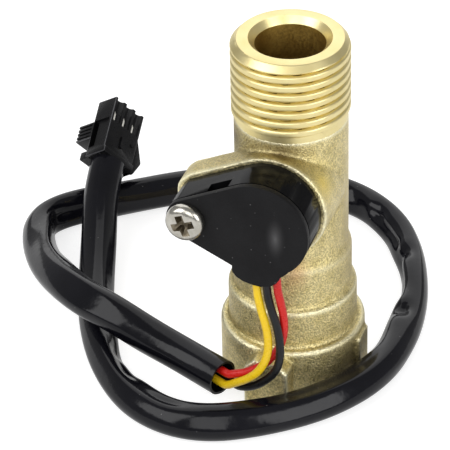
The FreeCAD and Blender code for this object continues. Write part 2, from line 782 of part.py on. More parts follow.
def path_through(points):
    """Straight runs joined by tangent arcs, each as large as its two runs allow."""
    points = [Vector(*point) for point in points]
    edges, radii, start = [], [], points[0]
    for before, corner, after in zip(points, points[1:], points[2:]):
        arriving, leaving = corner - before, after - corner
        half_turn = arriving.getAngle(leaving) / 2
        cut = 0.45 * min(arriving.Length, leaving.Length)
        radius = cut / math.tan(half_turn)
        arriving.normalize()
        leaving.normalize()
        first, last = corner - arriving * cut, corner + leaving * cut
        inward = leaving - arriving
        inward.normalize()
        middle = corner + inward * (radius / math.cos(half_turn) - radius)
        edges.append(Part.LineSegment(start, first).toShape())
        edges.append(Part.Arc(first, middle, last).toShape())
        radii.append(radius)
        start = last
    edges.append(Part.LineSegment(start, points[-1]).toShape())
    return Part.Wire(edges), radii


def build_cord(label, points, radius):
    """A round cord along a route, as one solid."""
    path, radii = path_through(points)
    first = Vector(*points[1]) - Vector(*points[0])
    section = Part.Wire([Part.makeCircle(radius, Vector(*points[0]), first)])
    solid = path.makePipeShell([section], True, True)
    cord = doc.addObject("Part::Feature", label)
    cord.Label = label
    cord.Shape = solid
    cord.Placement = Placement()
    expected = math.pi * radius ** 2 * path.Length
    print("%s length %.1f, volume %.5f of its section times its length, radii %s" % (
        label, path.Length, solid.Volume / expected, " ".join("%.1f" % r for r in radii)))
    return cord


def sleeve_mouth():
    """Middle of the sleeve's mouth, the way into the sleeve, and the sideways and upward directions."""
    middle = Vector(*SLEEVE_ROUTE[0])
    inward = Vector(*SLEEVE_ROUTE[1]) - middle
    inward.normalize()
    sideways = Vector(0, 0, 1).cross(inward) * -1
    sideways.normalize()
    upward = sideways.cross(inward)
    if upward.z < 0:
        upward = upward * -1
    return middle, inward, sideways, upward


def build_lead(label, place, free_route, seat):
    middle, inward, sideways, upward = sleeve_mouth()
    end = middle + sideways * seat[0] + upward * seat[1]
    before = end - inward * 1.6
    x, y = lead_x(place).value, -LEAD_PLANE.value
    top = CLIP_Z.value - 5.0
    route = [(x, y, top), (x, y - 0.02, size("lobe_bottom").value - 0.9)]
    route += free_route
    route += [tuple(before), tuple(end)]
    return build_cord(label, route, SIZES["lead_radius"])


def plug_placement():
    """Seat of the plug on the far end of the sleeve, rolled as it lies."""
    end, before = Vector(*SLEEVE_ROUTE[-1]), Vector(*SLEEVE_ROUTE[-2])
    axis = end - before
    axis.normalize()
    broad = Vector(0.832, -0.141, 0.536)
    broad = broad - axis * broad.dot(axis)
    broad.normalize()
    side = broad.cross(axis)
    return Placement(end, Rotation(side, broad, axis, "ZXY"))


def build_plug_housing():
    body = new_body("plug_housing", plug_placement())
    half, thick, tall = size("plug_half_width"), size("plug_half_thickness"), size("plug_length")
    block = draw_box(new_sketch(body, "PlugOutline", "XY_Plane"), -half, -thick, half, thick)
    pad(body, "PlugBlock", block, tall)
    rim = draw_box(new_sketch(body, "RimOutline", "XY_Plane"), -half - 0.25, -thick, half, thick + 0.25)
    pad(body, "Rim", rim, 1.3)
    wing = draw_polygon(new_sketch(body, "WingOutline", "XZ_Plane", -thick + 0.3), [
        (0.4 - half, 0.2), (-half - 0.9, 0.2), (-half - 2.1, 3.4), (0.4 - half, 8.6),
    ])
    pad(body, "Wing", wing, size("wing_width"))
    grip = draw_box(new_sketch(body, "GripOutline", "YZ_Plane", half - 4.4), -thick - 4.1, 4.4,
                    1.0 - thick, 8.2)
    pad(body, "Grip", grip, 4.4)
    foot = draw_box(new_sketch(body, "FootOutline", "YZ_Plane", half - 5.0), -thick - 2.1, 0.0,
                    1.0 - thick, 1.7)
    pad(body, "Foot", foot, 4.6)
    hollow = draw_box(new_sketch(body, "SideHollowOutline", "YZ_Plane", half), -thick + 0.3, 1.9,
                      thick - 0.6, 8.2)
    pocket(body, "SideHollow", hollow, size("side_hollow"))
    rib = new_sketch(body, "GripGrooves", "YZ_Plane", half)
    for step in range(4):
        low = 4.75 + 0.85 * step
        draw_box(rib, -thick - 4.6, low, -thick - 3.7, low + 0.4)
    pocket(body, "GripGroovesCut", rib, 5.0)
    cell = new_sketch(body, "CellOutline", "XY_Plane", tall)
    channel = new_sketch(body, "ChannelOutline", "XY_Plane", tall)
    window = new_sketch(body, "WindowOutline", "XZ_Plane", -thick)
    high = tall - size("channel_length")
    for place in (-1, 0, 1):
        x = size("plug_pitch") * place
        draw_box(cell, x - size("cavity_half"), -size("cavity_half"),
                 x + size("cavity_half"), size("cavity_half"))
        draw_circle(channel, (x, thick + 0.1), size("cavity_half") + 0.1)
        draw_box(window, x + TONGUE_INNER - size("fit"), high - size("fit"), x + size("cavity_half"),
                 high + size("tongue_length") + size("fit"))
    pocket(body, "Cells", cell, tall - 0.9)
    pocket(body, "Channels", channel, size("channel_length"))
    pocket(body, "Windows", window, thick - size("cavity_half"), backwards=True)
    return body


def build_plug_contacts():
    """Three folded box contacts, each with a spring tongue that shows in its channel."""
    body = new_body("plug_contacts", plug_placement())
    outer = size("cavity_half") - 0.02
    inner = outer - size("contact_wall")
    level = size("contact_inset")
    skin = new_sketch(body, "ContactOutline", "XY_Plane", level)
    hollow = new_sketch(body, "ContactHollow", "XY_Plane", level + size("contact_wall"))
    for place in (-1, 0, 1):
        x = size("plug_pitch") * place
        draw_box(skin, x - outer, -outer, x + outer, outer)
        draw_box(hollow, x - inner, -inner, x + inner, inner)
    pad(body, "ContactBlocks", skin, size("contact_length"))
    pocket(body, "ContactBores", hollow, size("contact_length") - size("contact_wall"), backwards=True)
    tongue = new_sketch(body, "TongueOutline", "XZ_Plane", -outer)
    low = size("plug_length") - size("channel_length")
    for place in (-1, 0, 1):
        x = size("plug_pitch") * place
        draw_box(tongue, x + TONGUE_INNER, low, x + outer - 0.03, low + size("tongue_length"))
    pad(body, "Tongues", tongue, size("plug_half_thickness") - outer - 0.55, backwards=True)
    return body


def build_all():
    shaft_bottom = LOWER_BUSH_TOP - size("bush_length") - 0.4
    shaft_top = UPPER_BUSH_TOP + 0.4
    return [
        build_flow_body(),
        build_retaining_ring(),
        build_filter_screen(),
        build_inlet_stator(),
        build_o_ring(),
        build_tube("cartridge_tube", LINER_INSIDE, LINER_OUTSIDE, LINER_BOTTOM, LINER_TOP),
        build_tube("lower_bush", BUSH_BORE, size("bush_radius"), LOWER_BUSH_TOP - size("bush_length"),
                   LOWER_BUSH_TOP),
        build_turbine_rotor(),
        build_tube("ring_magnet", size("rotor_hub"), size("magnet_radius"), MAGNET_BOTTOM, MAGNET_TOP),
        build_turned("rotor_shaft", [(0, shaft_bottom), (size("shaft_radius"), shaft_bottom),
                                     (size("shaft_radius"), shaft_top), (0, shaft_top)]),
        build_tube("upper_bush", BUSH_BORE, size("bush_radius"), UPPER_BUSH_BOTTOM, UPPER_BUSH_TOP),
        build_outlet_spider(),
        build_sensor_base(),
        build_sensor_cover(),
        build_hall_board(),
        build_chip("hall_chip", (size("clip_offset"), CLIP_Z), size("chip_width"), size("chip_length"),
                   BOARD_BACK, size("chip_thickness"), True),
        build_chip("board_capacitor", (size("clip_offset") + 3.4, CLIP_Z + 2.6),
                   size("capacitor_length"), size("capacitor_width"), BOARD_FRONT,
                   size("capacitor_height"), False),
        build_clamp_screw(),
        build_lead("yellow_lead", -1, YELLOW_ROUTE, YELLOW_SEAT),
        build_lead("black_lead", 0, BLACK_ROUTE, BLACK_SEAT),
        build_lead("red_lead", 1, RED_ROUTE, RED_SEAT),
        build_cord("lead_sleeve", SLEEVE_ROUTE, SIZES["sleeve_radius"]),
        build_plug_housing(),
        build_plug_contacts(),
    ]


def check_document(pieces):
    for item in doc.Objects:
        if "Invalid" in item.State or "Error" in item.State:
            raise RuntimeError("%s failed: %s" % (item.Label, item.State))
    for piece in pieces:
        if piece.Shape.isNull() or not piece.Shape.isValid() or not piece.Shape.Solids:
            raise RuntimeError("%s has no valid solid" % piece.Label)


pieces = build_all()
doc.recompute()
check_document(pieces)
for piece in pieces:
    piece.Shape.exportStep("parts/%s.step" % piece.Label)
    print("%s solids %d volume %.2f" % (piece.Label, len(piece.Shape.Solids), piece.Shape.Volume))
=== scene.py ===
# %% [markdown]
# # A brass water flow sensor
#
# A turbine sits in a cast brass pipe fitting. A black clip with a Hall sensor is screwed to the
# casting's pad, and three coloured leads run from it into a black sleeve that ends in a plug.
# The measured solids are loaded first. Each visible piece is then modelled round them, in metres,
# with the flow axis on Z and the clip on the -Y side.

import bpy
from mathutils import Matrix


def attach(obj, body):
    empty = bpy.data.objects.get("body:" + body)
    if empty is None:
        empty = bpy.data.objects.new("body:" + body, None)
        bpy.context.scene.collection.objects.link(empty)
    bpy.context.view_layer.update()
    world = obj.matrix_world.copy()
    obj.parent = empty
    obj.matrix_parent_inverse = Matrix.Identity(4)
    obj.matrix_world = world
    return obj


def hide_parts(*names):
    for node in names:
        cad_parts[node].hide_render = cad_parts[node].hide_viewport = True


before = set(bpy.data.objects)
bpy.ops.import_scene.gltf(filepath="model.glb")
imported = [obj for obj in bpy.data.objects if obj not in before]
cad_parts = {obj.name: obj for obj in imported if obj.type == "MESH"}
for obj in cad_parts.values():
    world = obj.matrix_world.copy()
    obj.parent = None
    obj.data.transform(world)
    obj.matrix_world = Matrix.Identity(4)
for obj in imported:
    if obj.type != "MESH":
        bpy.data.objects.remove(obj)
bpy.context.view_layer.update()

import math

import bpy
from mathutils import Matrix, Vector, noise

MM = 0.001
HOUSING = "housing"

# %% [markdown]
# ## The camera
#
# A product photograph is usually taken with a long lens from slightly above. The ellipses of the
# pipe's rings give the height of the eye, and their sizes give its distance. So the camera is
# placed by three angles round a point on the flow axis, and it looks past that point by a small
# amount, because the fitting stands to the right of the picture's middle.

# %% Camera
CAMERA_TURN = math.radians(20)
CAMERA_RISE = math.radians(34.6)
CAMERA_ROLL = math.radians(-1.4)
CAMERA_DISTANCE = 0.560
AIM_POINT = Vector((0, 0, 0.0335))
AIM_OFFSET = Vector((0.01189, 0.00345))
LENS_MM = 252.2

camera_turns = (
    Matrix.Rotation(CAMERA_TURN, 4, "Z")
    @ Matrix.Rotation(math.pi / 2 - CAMERA_RISE, 4, "X")
    @ Matrix.Rotation(CAMERA_ROLL, 4, "Z")
)
camera_step = Vector((-AIM_OFFSET.x, -AIM_OFFSET.y, CAMERA_DISTANCE))
bpy.ops.object.camera_add()
camera = bpy.context.object
camera.name = "photo_camera"
camera_place = AIM_POINT + camera_turns.to_3x3() @ camera_step
camera.matrix_world = Matrix.Translation(camera_place) @ camera_turns
camera.data.lens = LENS_MM
camera.data.sensor_width = 36
camera.data.clip_start = 0.01
bpy.context.scene.camera = camera
print("camera stands at", [round(value, 4) for value in camera.location])

# %% [markdown]
# ## Helpers for work by hand
#
# Modelling by hand is a loop of the same few moves: add a primitive, shape it, run a modifier and
# apply it. These short helpers do those moves in millimetres, always on one selected object.

# %% Helpers for selecting, applying and joining
def choose(*objects):
    """Leaves only these objects selected, the first one active."""
    bpy.ops.object.select_all(action="DESELECT")
    for obj in objects:
        obj.select_set(True)
    bpy.context.view_layer.objects.active = objects[0]
    return objects[0]


def settle(name):
    """Names the new object and moves its place into its mesh."""
    obj = bpy.context.object
    obj.name = obj.data.name = name
    choose(obj)
    bpy.ops.object.transform_apply(location=True, rotation=True, scale=True)
    return obj


def modify(obj, kind, **settings):
    """Adds one modifier with these settings and applies it."""
    choose(obj)
    modifier = obj.modifiers.new(kind.lower(), kind)
    for name, value in settings.items():
        setattr(modifier, name, value)
    bpy.ops.object.modifier_apply(modifier=modifier.name)
    return obj


def combine(obj, other, operation="DIFFERENCE"):
    """Cuts another shape out of obj, or joins it on."""
    modify(obj, "BOOLEAN", object=other, operation=operation, solver="EXACT")
    bpy.data.objects.remove(other)
    return obj


def soften(obj, width, segments=2, limit=35):
    """Rounds the sharp edges as a mould or a file would."""
    return modify(
        obj, "BEVEL", width=width * MM, segments=segments, limit_method="ANGLE",
        angle_limit=math.radians(limit), harden_normals=False,
    )


def smooth(obj, angle=35):
    choose(obj)
    bpy.ops.object.shade_smooth_by_angle(angle=math.radians(angle))
    return obj


def mark_edges(obj, gain, rounds=2):
    """Stores how far each vertex stands out from its neighbours, as a handled edge does: 0 to 1. On
    the casting it makes convex edges and shoulders lighter: partly rubbed metal, partly a painted
    highlight.
    """
    mesh = obj.data
    around = [[] for _ in mesh.vertices]
    for edge in mesh.edges:
        a, b = edge.vertices
        around[a].append(b)
        around[b].append(a)
    wear_and_highlight = []
    for vertex, others in zip(mesh.vertices, around):
        middle = sum((mesh.vertices[other].co for other in others), Vector()) / len(others)
        wear_and_highlight.append((vertex.co - middle).dot(vertex.normal) / MM * gain)
    for _ in range(rounds):
        wear_and_highlight = [(value + sum(wear_and_highlight[other] for other in others)) / (1 + len(others))
                for value, others in zip(wear_and_highlight, around)]
    layer = mesh.attributes.new("edge_wear_and_highlight", "FLOAT", "POINT")
    layer.data.foreach_set("value", [min(max(value, 0), 1) for value in wear_and_highlight])
    return obj


# %% Helpers for primitives
TURNS = {"X": (0, math.pi / 2, 0), "Y": (math.pi / 2, 0, 0), "Z": (0, 0, 0)}


def cylinder(name, radius, centre, depth, along="Z", sides=96):
    bpy.ops.mesh.primitive_cylinder_add(
        vertices=sides, radius=radius * MM, depth=depth * MM,
        location=[value * MM for value in centre], rotation=TURNS[along],
    )
    return settle(name)


def block(name, low, high):
    bpy.ops.mesh.primitive_cube_add(
        size=1, location=[(a + b) / 2 * MM for a, b in zip(low, high)],
        scale=[(b - a) * MM for a, b in zip(low, high)],
    )
    return settle(name)


def hull(name, *parts):
    """Stretches one skin over several shapes, as a rubber band would."""
    choose(*parts)
    bpy.ops.object.join()
    obj = settle(name)
    bpy.ops.object.mode_set(mode="EDIT")
    bpy.ops.mesh.select_all(action="SELECT")
    bpy.ops.mesh.convex_hull()
    bpy.ops.mesh.select_all(action="SELECT")
    bpy.ops.mesh.dissolve_limited(angle_limit=math.radians(1))
    bpy.ops.object.mode_set(mode="OBJECT")
    return obj


def turned(name, section, steps=128):
    """Draws half a section (radius, height) point by point and spins it round the flow axis."""
    bpy.ops.mesh.primitive_plane_add(size=2 * MM)
    obj = settle(name)
    bpy.ops.object.mode_set(mode="EDIT")
    bpy.ops.mesh.select_all(action="SELECT")
    bpy.ops.mesh.merge(type="CENTER")
    bpy.ops.transform.translate(value=(section[0][0] * MM, 0, section[0][1] * MM))
    for (radius, height), (next_radius, next_height) in zip(section, section[1:]):
        step = ((next_radius - radius) * MM, 0, (next_height - height) * MM)
        bpy.ops.mesh.extrude_vertices_move(TRANSFORM_OT_translate={"value": step})
    bpy.ops.mesh.select_all(action="SELECT")
    bpy.ops.mesh.remove_doubles(threshold=0.0005 * MM)
    bpy.ops.mesh.select_all(action="SELECT")
    bpy.ops.mesh.spin(steps=steps, angle=2 * math.pi, center=(0, 0, 0), axis=(0, 0, 1))
    bpy.ops.mesh.select_all(action="SELECT")
    bpy.ops.mesh.remove_doubles(threshold=0.0005 * MM)
    bpy.ops.mesh.select_all(action="SELECT")
    bpy.ops.mesh.normals_make_consistent(inside=False)
    bpy.ops.object.mode_set(mode="OBJECT")
    return obj


def hand_in(obj, material, slot, *nodes, body=HOUSING):
    """Gives a finished piece its material, and says which solids it stands for."""
    obj.data.materials.clear()
    obj.data.materials.append(material)
    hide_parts(*nodes)
    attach(obj, body)
    faces = len(obj.data.polygons) if obj.type == "MESH" else 0
    print(obj.name, "stands for", nodes, "with", faces, "faces")
    return obj


# %% [markdown]
# ## Finishes
#
# Most of these surfaces differ in only a few ways: how blotchy the colour is, how fine the grain
# is and how deep it goes. One node group makes a soft mottle and a fine grain from Object
# coordinates, and every material uses it with its own values. A second group scatters rare specks
# of dust, which every black plastic shows under studio light. A soft spot of another colour is a
# gradient ball that a Mapping node puts where it belongs; such spots carry painted shade, painted
# highlights and a painted reflection, and at the neck some dirt as well.

# %% The grain group
def socket(group, name, kind, value=None, side="INPUT"):
    made = group.interface.new_socket(name=name, in_out=side, socket_type=kind)
    if value is not None:
        made.default_value = value
    return made


def make_grain_group():
    """Mottle is broad and cloudy, Grain is fine. Both run from 0 to 1."""
    group = bpy.data.node_groups.new("surface_grain", "ShaderNodeTree")
    socket(group, "Mottle Scale", "NodeSocketFloat", 150.0)
    socket(group, "Grain Scale", "NodeSocketFloat", 2000.0)
    socket(group, "Contrast", "NodeSocketFloat", 0.25)
    socket(group, "Mottle", "NodeSocketFloat", side="OUTPUT")
    socket(group, "Grain", "NodeSocketFloat", side="OUTPUT")
    nodes, links = group.nodes, group.links
    values, results = nodes.new("NodeGroupInput"), nodes.new("NodeGroupOutput")
    place = nodes.new("ShaderNodeTexCoord")
    for name in ("Mottle", "Grain"):
        cloud, stretch = nodes.new("ShaderNodeTexNoise"), nodes.new("ShaderNodeMapRange")
        cloud.inputs["Detail"].default_value = 4 if name == "Mottle" else 2
        links.new(place.outputs["Object"], cloud.inputs["Vector"])
        links.new(values.outputs[name + " Scale"], cloud.inputs["Scale"])
        low, high = nodes.new("ShaderNodeMath"), nodes.new("ShaderNodeMath")
        low.operation, high.operation = "SUBTRACT", "ADD"
        for limit in (low, high):
            limit.inputs[0].default_value = 0.5
            links.new(values.outputs["Contrast"], limit.inputs[1])
        links.new(cloud.outputs["Fac"], stretch.inputs["Value"])
        links.new(low.outputs[0], stretch.inputs["From Min"])
        links.new(high.outputs[0], stretch.inputs["From Max"])
        links.new(stretch.outputs["Result"], results.inputs[name])
    return group


grain_group = make_grain_group()


# %% The dust group
SPECK_EDGE, SPECK_CORE = 0.16, 0.04
DUST_GREY = (0.10, 0.10, 0.10)


def make_dust_group():
    """Small round specks in a few of the cells of a Voronoi pattern."""
    group = bpy.data.node_groups.new("dust_specks", "ShaderNodeTree")
    socket(group, "Scale", "NodeSocketFloat", 1150.0)
    socket(group, "Share", "NodeSocketFloat", 0.12)
    socket(group, "Dust", "NodeSocketFloat", side="OUTPUT")
    nodes, links = group.nodes, group.links
    values, results = nodes.new("NodeGroupInput"), nodes.new("NodeGroupOutput")
    place, cells = nodes.new("ShaderNodeTexCoord"), nodes.new("ShaderNodeTexVoronoi")
    links.new(place.outputs["Object"], cells.inputs["Vector"])
    links.new(values.outputs["Scale"], cells.inputs["Scale"])
    chance, chosen = nodes.new("ShaderNodeSeparateColor"), nodes.new("ShaderNodeMath")
    chosen.operation = "LESS_THAN"
    links.new(cells.outputs["Color"], chance.inputs["Color"])
    links.new(chance.outputs["Red"], chosen.inputs[0])
    links.new(values.outputs["Share"], chosen.inputs[1])
    fade, both = nodes.new("ShaderNodeMapRange"), nodes.new("ShaderNodeMath")
    fade.inputs["From Min"].default_value = SPECK_EDGE
    fade.inputs["From Max"].default_value = SPECK_CORE
    both.operation = "MULTIPLY"
    links.new(cells.outputs["Distance"], fade.inputs["Value"])
    links.new(fade.outputs["Result"], both.inputs[0])
    links.new(chosen.outputs["Value"], both.inputs[1])
    links.new(both.outputs["Value"], results.inputs["Dust"])
    return group


dust_group = make_dust_group()


# %% The material maker
def mix_colours(tree, kind, factor, first, second):
    """A Mix node for colours. Each input is a plain value or another node's output."""
    mix = tree.nodes.new("ShaderNodeMix")
    mix.data_type, mix.blend_type = "RGBA", kind
    for name, value in (("Factor", factor), ("A", first), ("B", second)):
        if isinstance(value, bpy.types.NodeSocket):
            tree.links.new(value, mix.inputs[name])
        else:
            mix.inputs[name].default_value = value if name == "Factor" else (*value, 1)
    return mix.outputs["Result"]


def spread(tree, value, low, high):
    """Turns a value that runs from 0 to 1 into one that runs from low to high."""
    node = tree.nodes.new("ShaderNodeMapRange")
    node.inputs["To Min"].default_value, node.inputs["To Max"].default_value = low, high
    tree.links.new(value, node.inputs["Value"])
    return node.outputs["Result"]


def finish(name, colour, shade, roughness, metallic=0.0, mottle=150, grain=2000, depth=0.01,
           contrast=0.2, speckle=0.0, worn_and_lit_edge=None, dust=0.0, specular=0.5):
    """A finish from two colours, a roughness range and a grain depth in millimetres."""
    material = bpy.data.materials.new(name)
    material.use_nodes = True
    tree = material.node_tree
    shader = tree.nodes["Principled BSDF"]
    shader.inputs["Metallic"].default_value = metallic
    shader.inputs["Specular IOR Level"].default_value = specular
    grains = tree.nodes.new("ShaderNodeGroup")
    grains.node_tree = grain_group
    grains.inputs["Mottle Scale"].default_value = mottle
    grains.inputs["Grain Scale"].default_value = grain
    grains.inputs["Contrast"].default_value = contrast
    paint = mix_colours(tree, "MIX", grains.outputs["Mottle"], colour, shade)
    if speckle:
        pits = spread(tree, grains.outputs["Grain"], 1 - speckle, 1)
        paint = mix_colours(tree, "MULTIPLY", 1.0, paint, pits)
    # Lighter colour on convex edges: partly rubbed metal, partly a painted highlight.
    if worn_and_lit_edge:
        wear_and_highlight = tree.nodes.new("ShaderNodeAttribute")
        wear_and_highlight.attribute_name = "edge_wear_and_highlight"
        paint = mix_colours(tree, "MIX", wear_and_highlight.outputs["Fac"], paint, worn_and_lit_edge)
    if dust:
        specks = tree.nodes.new("ShaderNodeGroup")
        specks.node_tree = dust_group
        specks.inputs["Share"].default_value = dust
        paint = mix_colours(tree, "MIX", specks.outputs["Dust"], paint, DUST_GREY)
    tree.links.new(paint, shader.inputs["Base Color"])
    tree.links.new(spread(tree, grains.outputs["Grain"], *roughness), shader.inputs["Roughness"])
    bump = tree.nodes.new("ShaderNodeBump")
    bump.inputs["Distance"].default_value = depth * MM
    bump.inputs["Strength"].default_value = 1.0
    tree.links.new(grains.outputs["Grain"], bump.inputs["Height"])
    tree.links.new(bump.outputs["Normal"], shader.inputs["Normal"])
    return material


def add_spot(material, centre, radii, colour):
    """A soft spot of another colour: its place and radii are in millimetres."""
    tree = material.node_tree
    place, shift = tree.nodes.new("ShaderNodeTexCoord"), tree.nodes.new("ShaderNodeMapping")
    ball = tree.nodes.new("ShaderNodeTexGradient")
    shift.vector_type = "TEXTURE"
    shift.inputs["Location"].default_value = [value * MM for value in centre]
    shift.inputs["Scale"].default_value = [value * MM for value in radii]
    ball.gradient_type = "QUADRATIC_SPHERE"
    tree.links.new(place.outputs["Object"], shift.inputs["Vector"])
    tree.links.new(shift.outputs["Vector"], ball.inputs["Vector"])
    shader = tree.nodes["Principled BSDF"]
    paint = shader.inputs["Base Color"].links[0].from_socket
    spotted = mix_colours(tree, "MIX", ball.outputs["Fac"], paint, colour)
    tree.links.new(spotted, shader.inputs["Base Color"])


# %% [markdown]
# ## The palette
#
# The casting has a matt, sandy skin of pale brass. Its convex edges are lighter: partly rubbed
# metal, partly a painted highlight along the shoulders. Where a tool has turned it, the same metal
# is smooth and golden; the bottom of the thread and the bore get darker finishes, which are
# painted shade. The clip's base is a glossy black plastic and its cover a satin one. The leads are
# coloured PVC, the sleeve is soft glossy tubing, and the plug is a dull black nylon whose slim edge
# faces on one side get a lighter finish as a painted highlight.

# %% Metals
# The lighter edge colour of the cast brass is partly rubbed metal and partly a painted highlight on
# the shoulders.
cast_brass = finish(
    "cast_brass", (0.90, 0.77, 0.39), (0.72, 0.60, 0.27), (0.30, 0.46), metallic=1.0,
    mottle=520, grain=3300, depth=0.06, contrast=0.14, speckle=0.50, worn_and_lit_edge=(1.0, 0.95, 0.68),
)
turned_brass = finish(
    "turned_brass", (0.83, 0.72, 0.38), (0.78, 0.66, 0.31), (0.33, 0.41), metallic=1.0,
    mottle=250, grain=3200, depth=0.0012,
)
# The groove and bore finishes are darker brass: painted shade in the thread's roots and the bore.
groove_brass_painted_shade = finish(
    "groove_brass_painted_shade", (0.36, 0.27, 0.10), (0.24, 0.17, 0.06), (0.38, 0.50), metallic=1.0,
    mottle=500, grain=3200, depth=0.002,
)
bore_brass_painted_shade = finish(
    "bore_brass_painted_shade", (0.40, 0.27, 0.07), (0.30, 0.19, 0.045), (0.42, 0.60), metallic=1.0,
    mottle=300, grain=2600, depth=0.006, speckle=0.3,
)
nickel = finish(
    "nickel_plate", (0.56, 0.54, 0.49), (0.40, 0.38, 0.33), (0.16, 0.26), metallic=1.0,
    mottle=500, grain=3500, depth=0.004,
)
# A darker nickel for the walls of the screw's recess: painted shade.
recess_painted_shade = finish(
    "nickel_recess_painted_shade", (0.22, 0.19, 0.14), (0.12, 0.10, 0.07), (0.28, 0.45), metallic=1.0,
    mottle=900, grain=3500, depth=0.01,
)
bright_steel = finish(
    "bright_steel", (0.66, 0.66, 0.67), (0.52, 0.53, 0.55), (0.22, 0.35), metallic=1.0, depth=0.004)
tinned = finish(
    "tinned_strip", (0.92, 0.90, 0.84), (0.82, 0.80, 0.73), (0.35, 0.50), metallic=1.0, depth=0.004)
ferrite = finish(
    "sintered_ferrite", (0.10, 0.10, 0.11), (0.06, 0.06, 0.07), (0.45, 0.62), metallic=0.4, depth=0.02)

# %% Plastics and rubbers
base_black = finish(
    "clip_base_plastic", (0.003, 0.003, 0.0034), (0.005, 0.005, 0.0055), (0.10, 0.17), mottle=220,
    grain=2600, depth=0.004, dust=0.05, specular=0.06,
)
cover_black = finish(
    "clip_cover_plastic", (0.0055, 0.0054, 0.0060), (0.0085, 0.0084, 0.0092), (0.42, 0.54),
    mottle=220, grain=2600, depth=0.012, dust=0.14, specular=0.12,
)
nylon_black = finish(
    "plug_nylon", (0.0035, 0.0034, 0.0040), (0.0065, 0.0064, 0.0072), (0.26, 0.36), mottle=300,
    grain=2400, depth=0.010, dust=0.06, specular=0.18,
)
# A lighter nylon for the slim edge faces on one side of the plug: a painted highlight.
nylon_painted_highlight = finish(
    "plug_nylon_painted_highlight", (0.060, 0.060, 0.066), (0.030, 0.030, 0.034), (0.24, 0.34), mottle=900,
    grain=2400, depth=0.004,
)
sleeve_black = finish(
    "sleeve_tubing", (0.0030, 0.0030, 0.0046), (0.0050, 0.0050, 0.0074), (0.10, 0.17), mottle=120,
    grain=900, depth=0.008, dust=0.05, specular=0.22,
)
yellow_pvc = finish(
    "yellow_insulation", (0.74, 0.50, 0.010), (0.68, 0.44, 0.008), (0.24, 0.34), mottle=300,
    grain=1600, depth=0.004, specular=0.40,
)
red_pvc = finish(
    "red_insulation", (0.56, 0.012, 0.008), (0.48, 0.008, 0.006), (0.24, 0.34), mottle=300,
    grain=1600, depth=0.004, specular=0.35,
)
black_pvc = finish(
    "black_insulation", (0.005, 0.005, 0.006), (0.008, 0.008, 0.009), (0.26, 0.36), mottle=300,
    grain=1600, depth=0.01, specular=0.30,
)
white_acetal = finish(
    "rotor_acetal", (0.80, 0.79, 0.75), (0.70, 0.69, 0.64), (0.34, 0.48), depth=0.01)
grey_acetal = finish(
    "bush_acetal", (0.20, 0.20, 0.21), (0.14, 0.14, 0.15), (0.40, 0.52), depth=0.01)
seal_rubber = finish(
    "seal_rubber", (0.014, 0.014, 0.014), (0.024, 0.024, 0.024), (0.50, 0.65), depth=0.015)
board_green = finish(
    "board_mask", (0.020, 0.110, 0.050), (0.012, 0.080, 0.036), (0.25, 0.35), depth=0.01)
chip_epoxy = finish(
    "chip_epoxy", (0.020, 0.020, 0.020), (0.032, 0.032, 0.032), (0.48, 0.60), depth=0.01)
fired_ceramic = finish(
    "fired_ceramic", (0.36, 0.25, 0.16), (0.28, 0.19, 0.12), (0.42, 0.55), depth=0.01)

# %% Painted shade, painted highlights and a painted reflection
# Each row gives the finish, the middle and the reach in millimetres, and the colour in the middle:
# dirt and painted shade at the neck and in the corner by the pad, a painted gold glint and a
# painted red reflection of the red lead by the clip, painted shade on the right side, a darker
# patch on the left of the thread, and a painted highlight on the cover.
SPOTS = [
    (cast_brass, (-8.5, -5, 50), (13, 12, 8), (0.16, 0.125, 0.06)),
    (cast_brass, (1.5, -10.5, 51), (10, 6, 6), (0.22, 0.17, 0.08)),
    (cast_brass, (8.2, -9.5, 46), (6, 6, 6), (1.0, 0.78, 0.20)),
    (cast_brass, (4.2, -11, 26.5), (4, 5, 6), (0.62, 0.36, 0.18)),
    (cast_brass, (13, -6, 6), (9, 12, 11), (0.34, 0.27, 0.12)),
    (cast_brass, (11.5, 1.5, 32), (6, 10, 25), (0.36, 0.29, 0.14)),
    (turned_brass, (-10.5, -2, 60), (5, 9, 10), (0.56, 0.47, 0.23)),
    (cover_black, (3.6, -20, 40.2), (2.0, 5, 4.8), (0.070, 0.069, 0.071)),
]
for spotted_finish, middle, reach, colour in SPOTS:
    add_spot(spotted_finish, middle, reach, colour)
print(len(SPOTS), "spots are painted")

# %% [markdown]
# ## The pieces that keep their solids
#
# The turbine, its bushes, the stator, the seal and the circuit board are hidden inside. Their
# measured solids already have the right shape, so each one only gets its finish.

# %% Finishes of the inner pieces
INNER_FINISHES = {
    "retaining_ring": bright_steel, "filter_screen": bright_steel, "rotor_shaft": bright_steel,
    "inlet_stator": white_acetal, "outlet_spider": white_acetal, "turbine_rotor": white_acetal,
    "cartridge_tube": white_acetal, "lower_bush": grey_acetal, "upper_bush": grey_acetal,
    "insert_o_ring": seal_rubber, "ring_magnet": ferrite, "hall_board": board_green,
    "hall_chip": chip_epoxy, "board_capacitor": fired_ceramic,
}
for node, material in INNER_FINISHES.items():
    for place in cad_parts[node].material_slots:
        place.material = material
print(len(INNER_FINISHES), "solids keep their shape")

# %% [markdown]
# ## Leads and sleeve
#
# A cord is one smooth line first. The points are the corners of the route that the solids follow,
# and a NURBS line of order 3 runs smoothly between them, as a soft lead does.

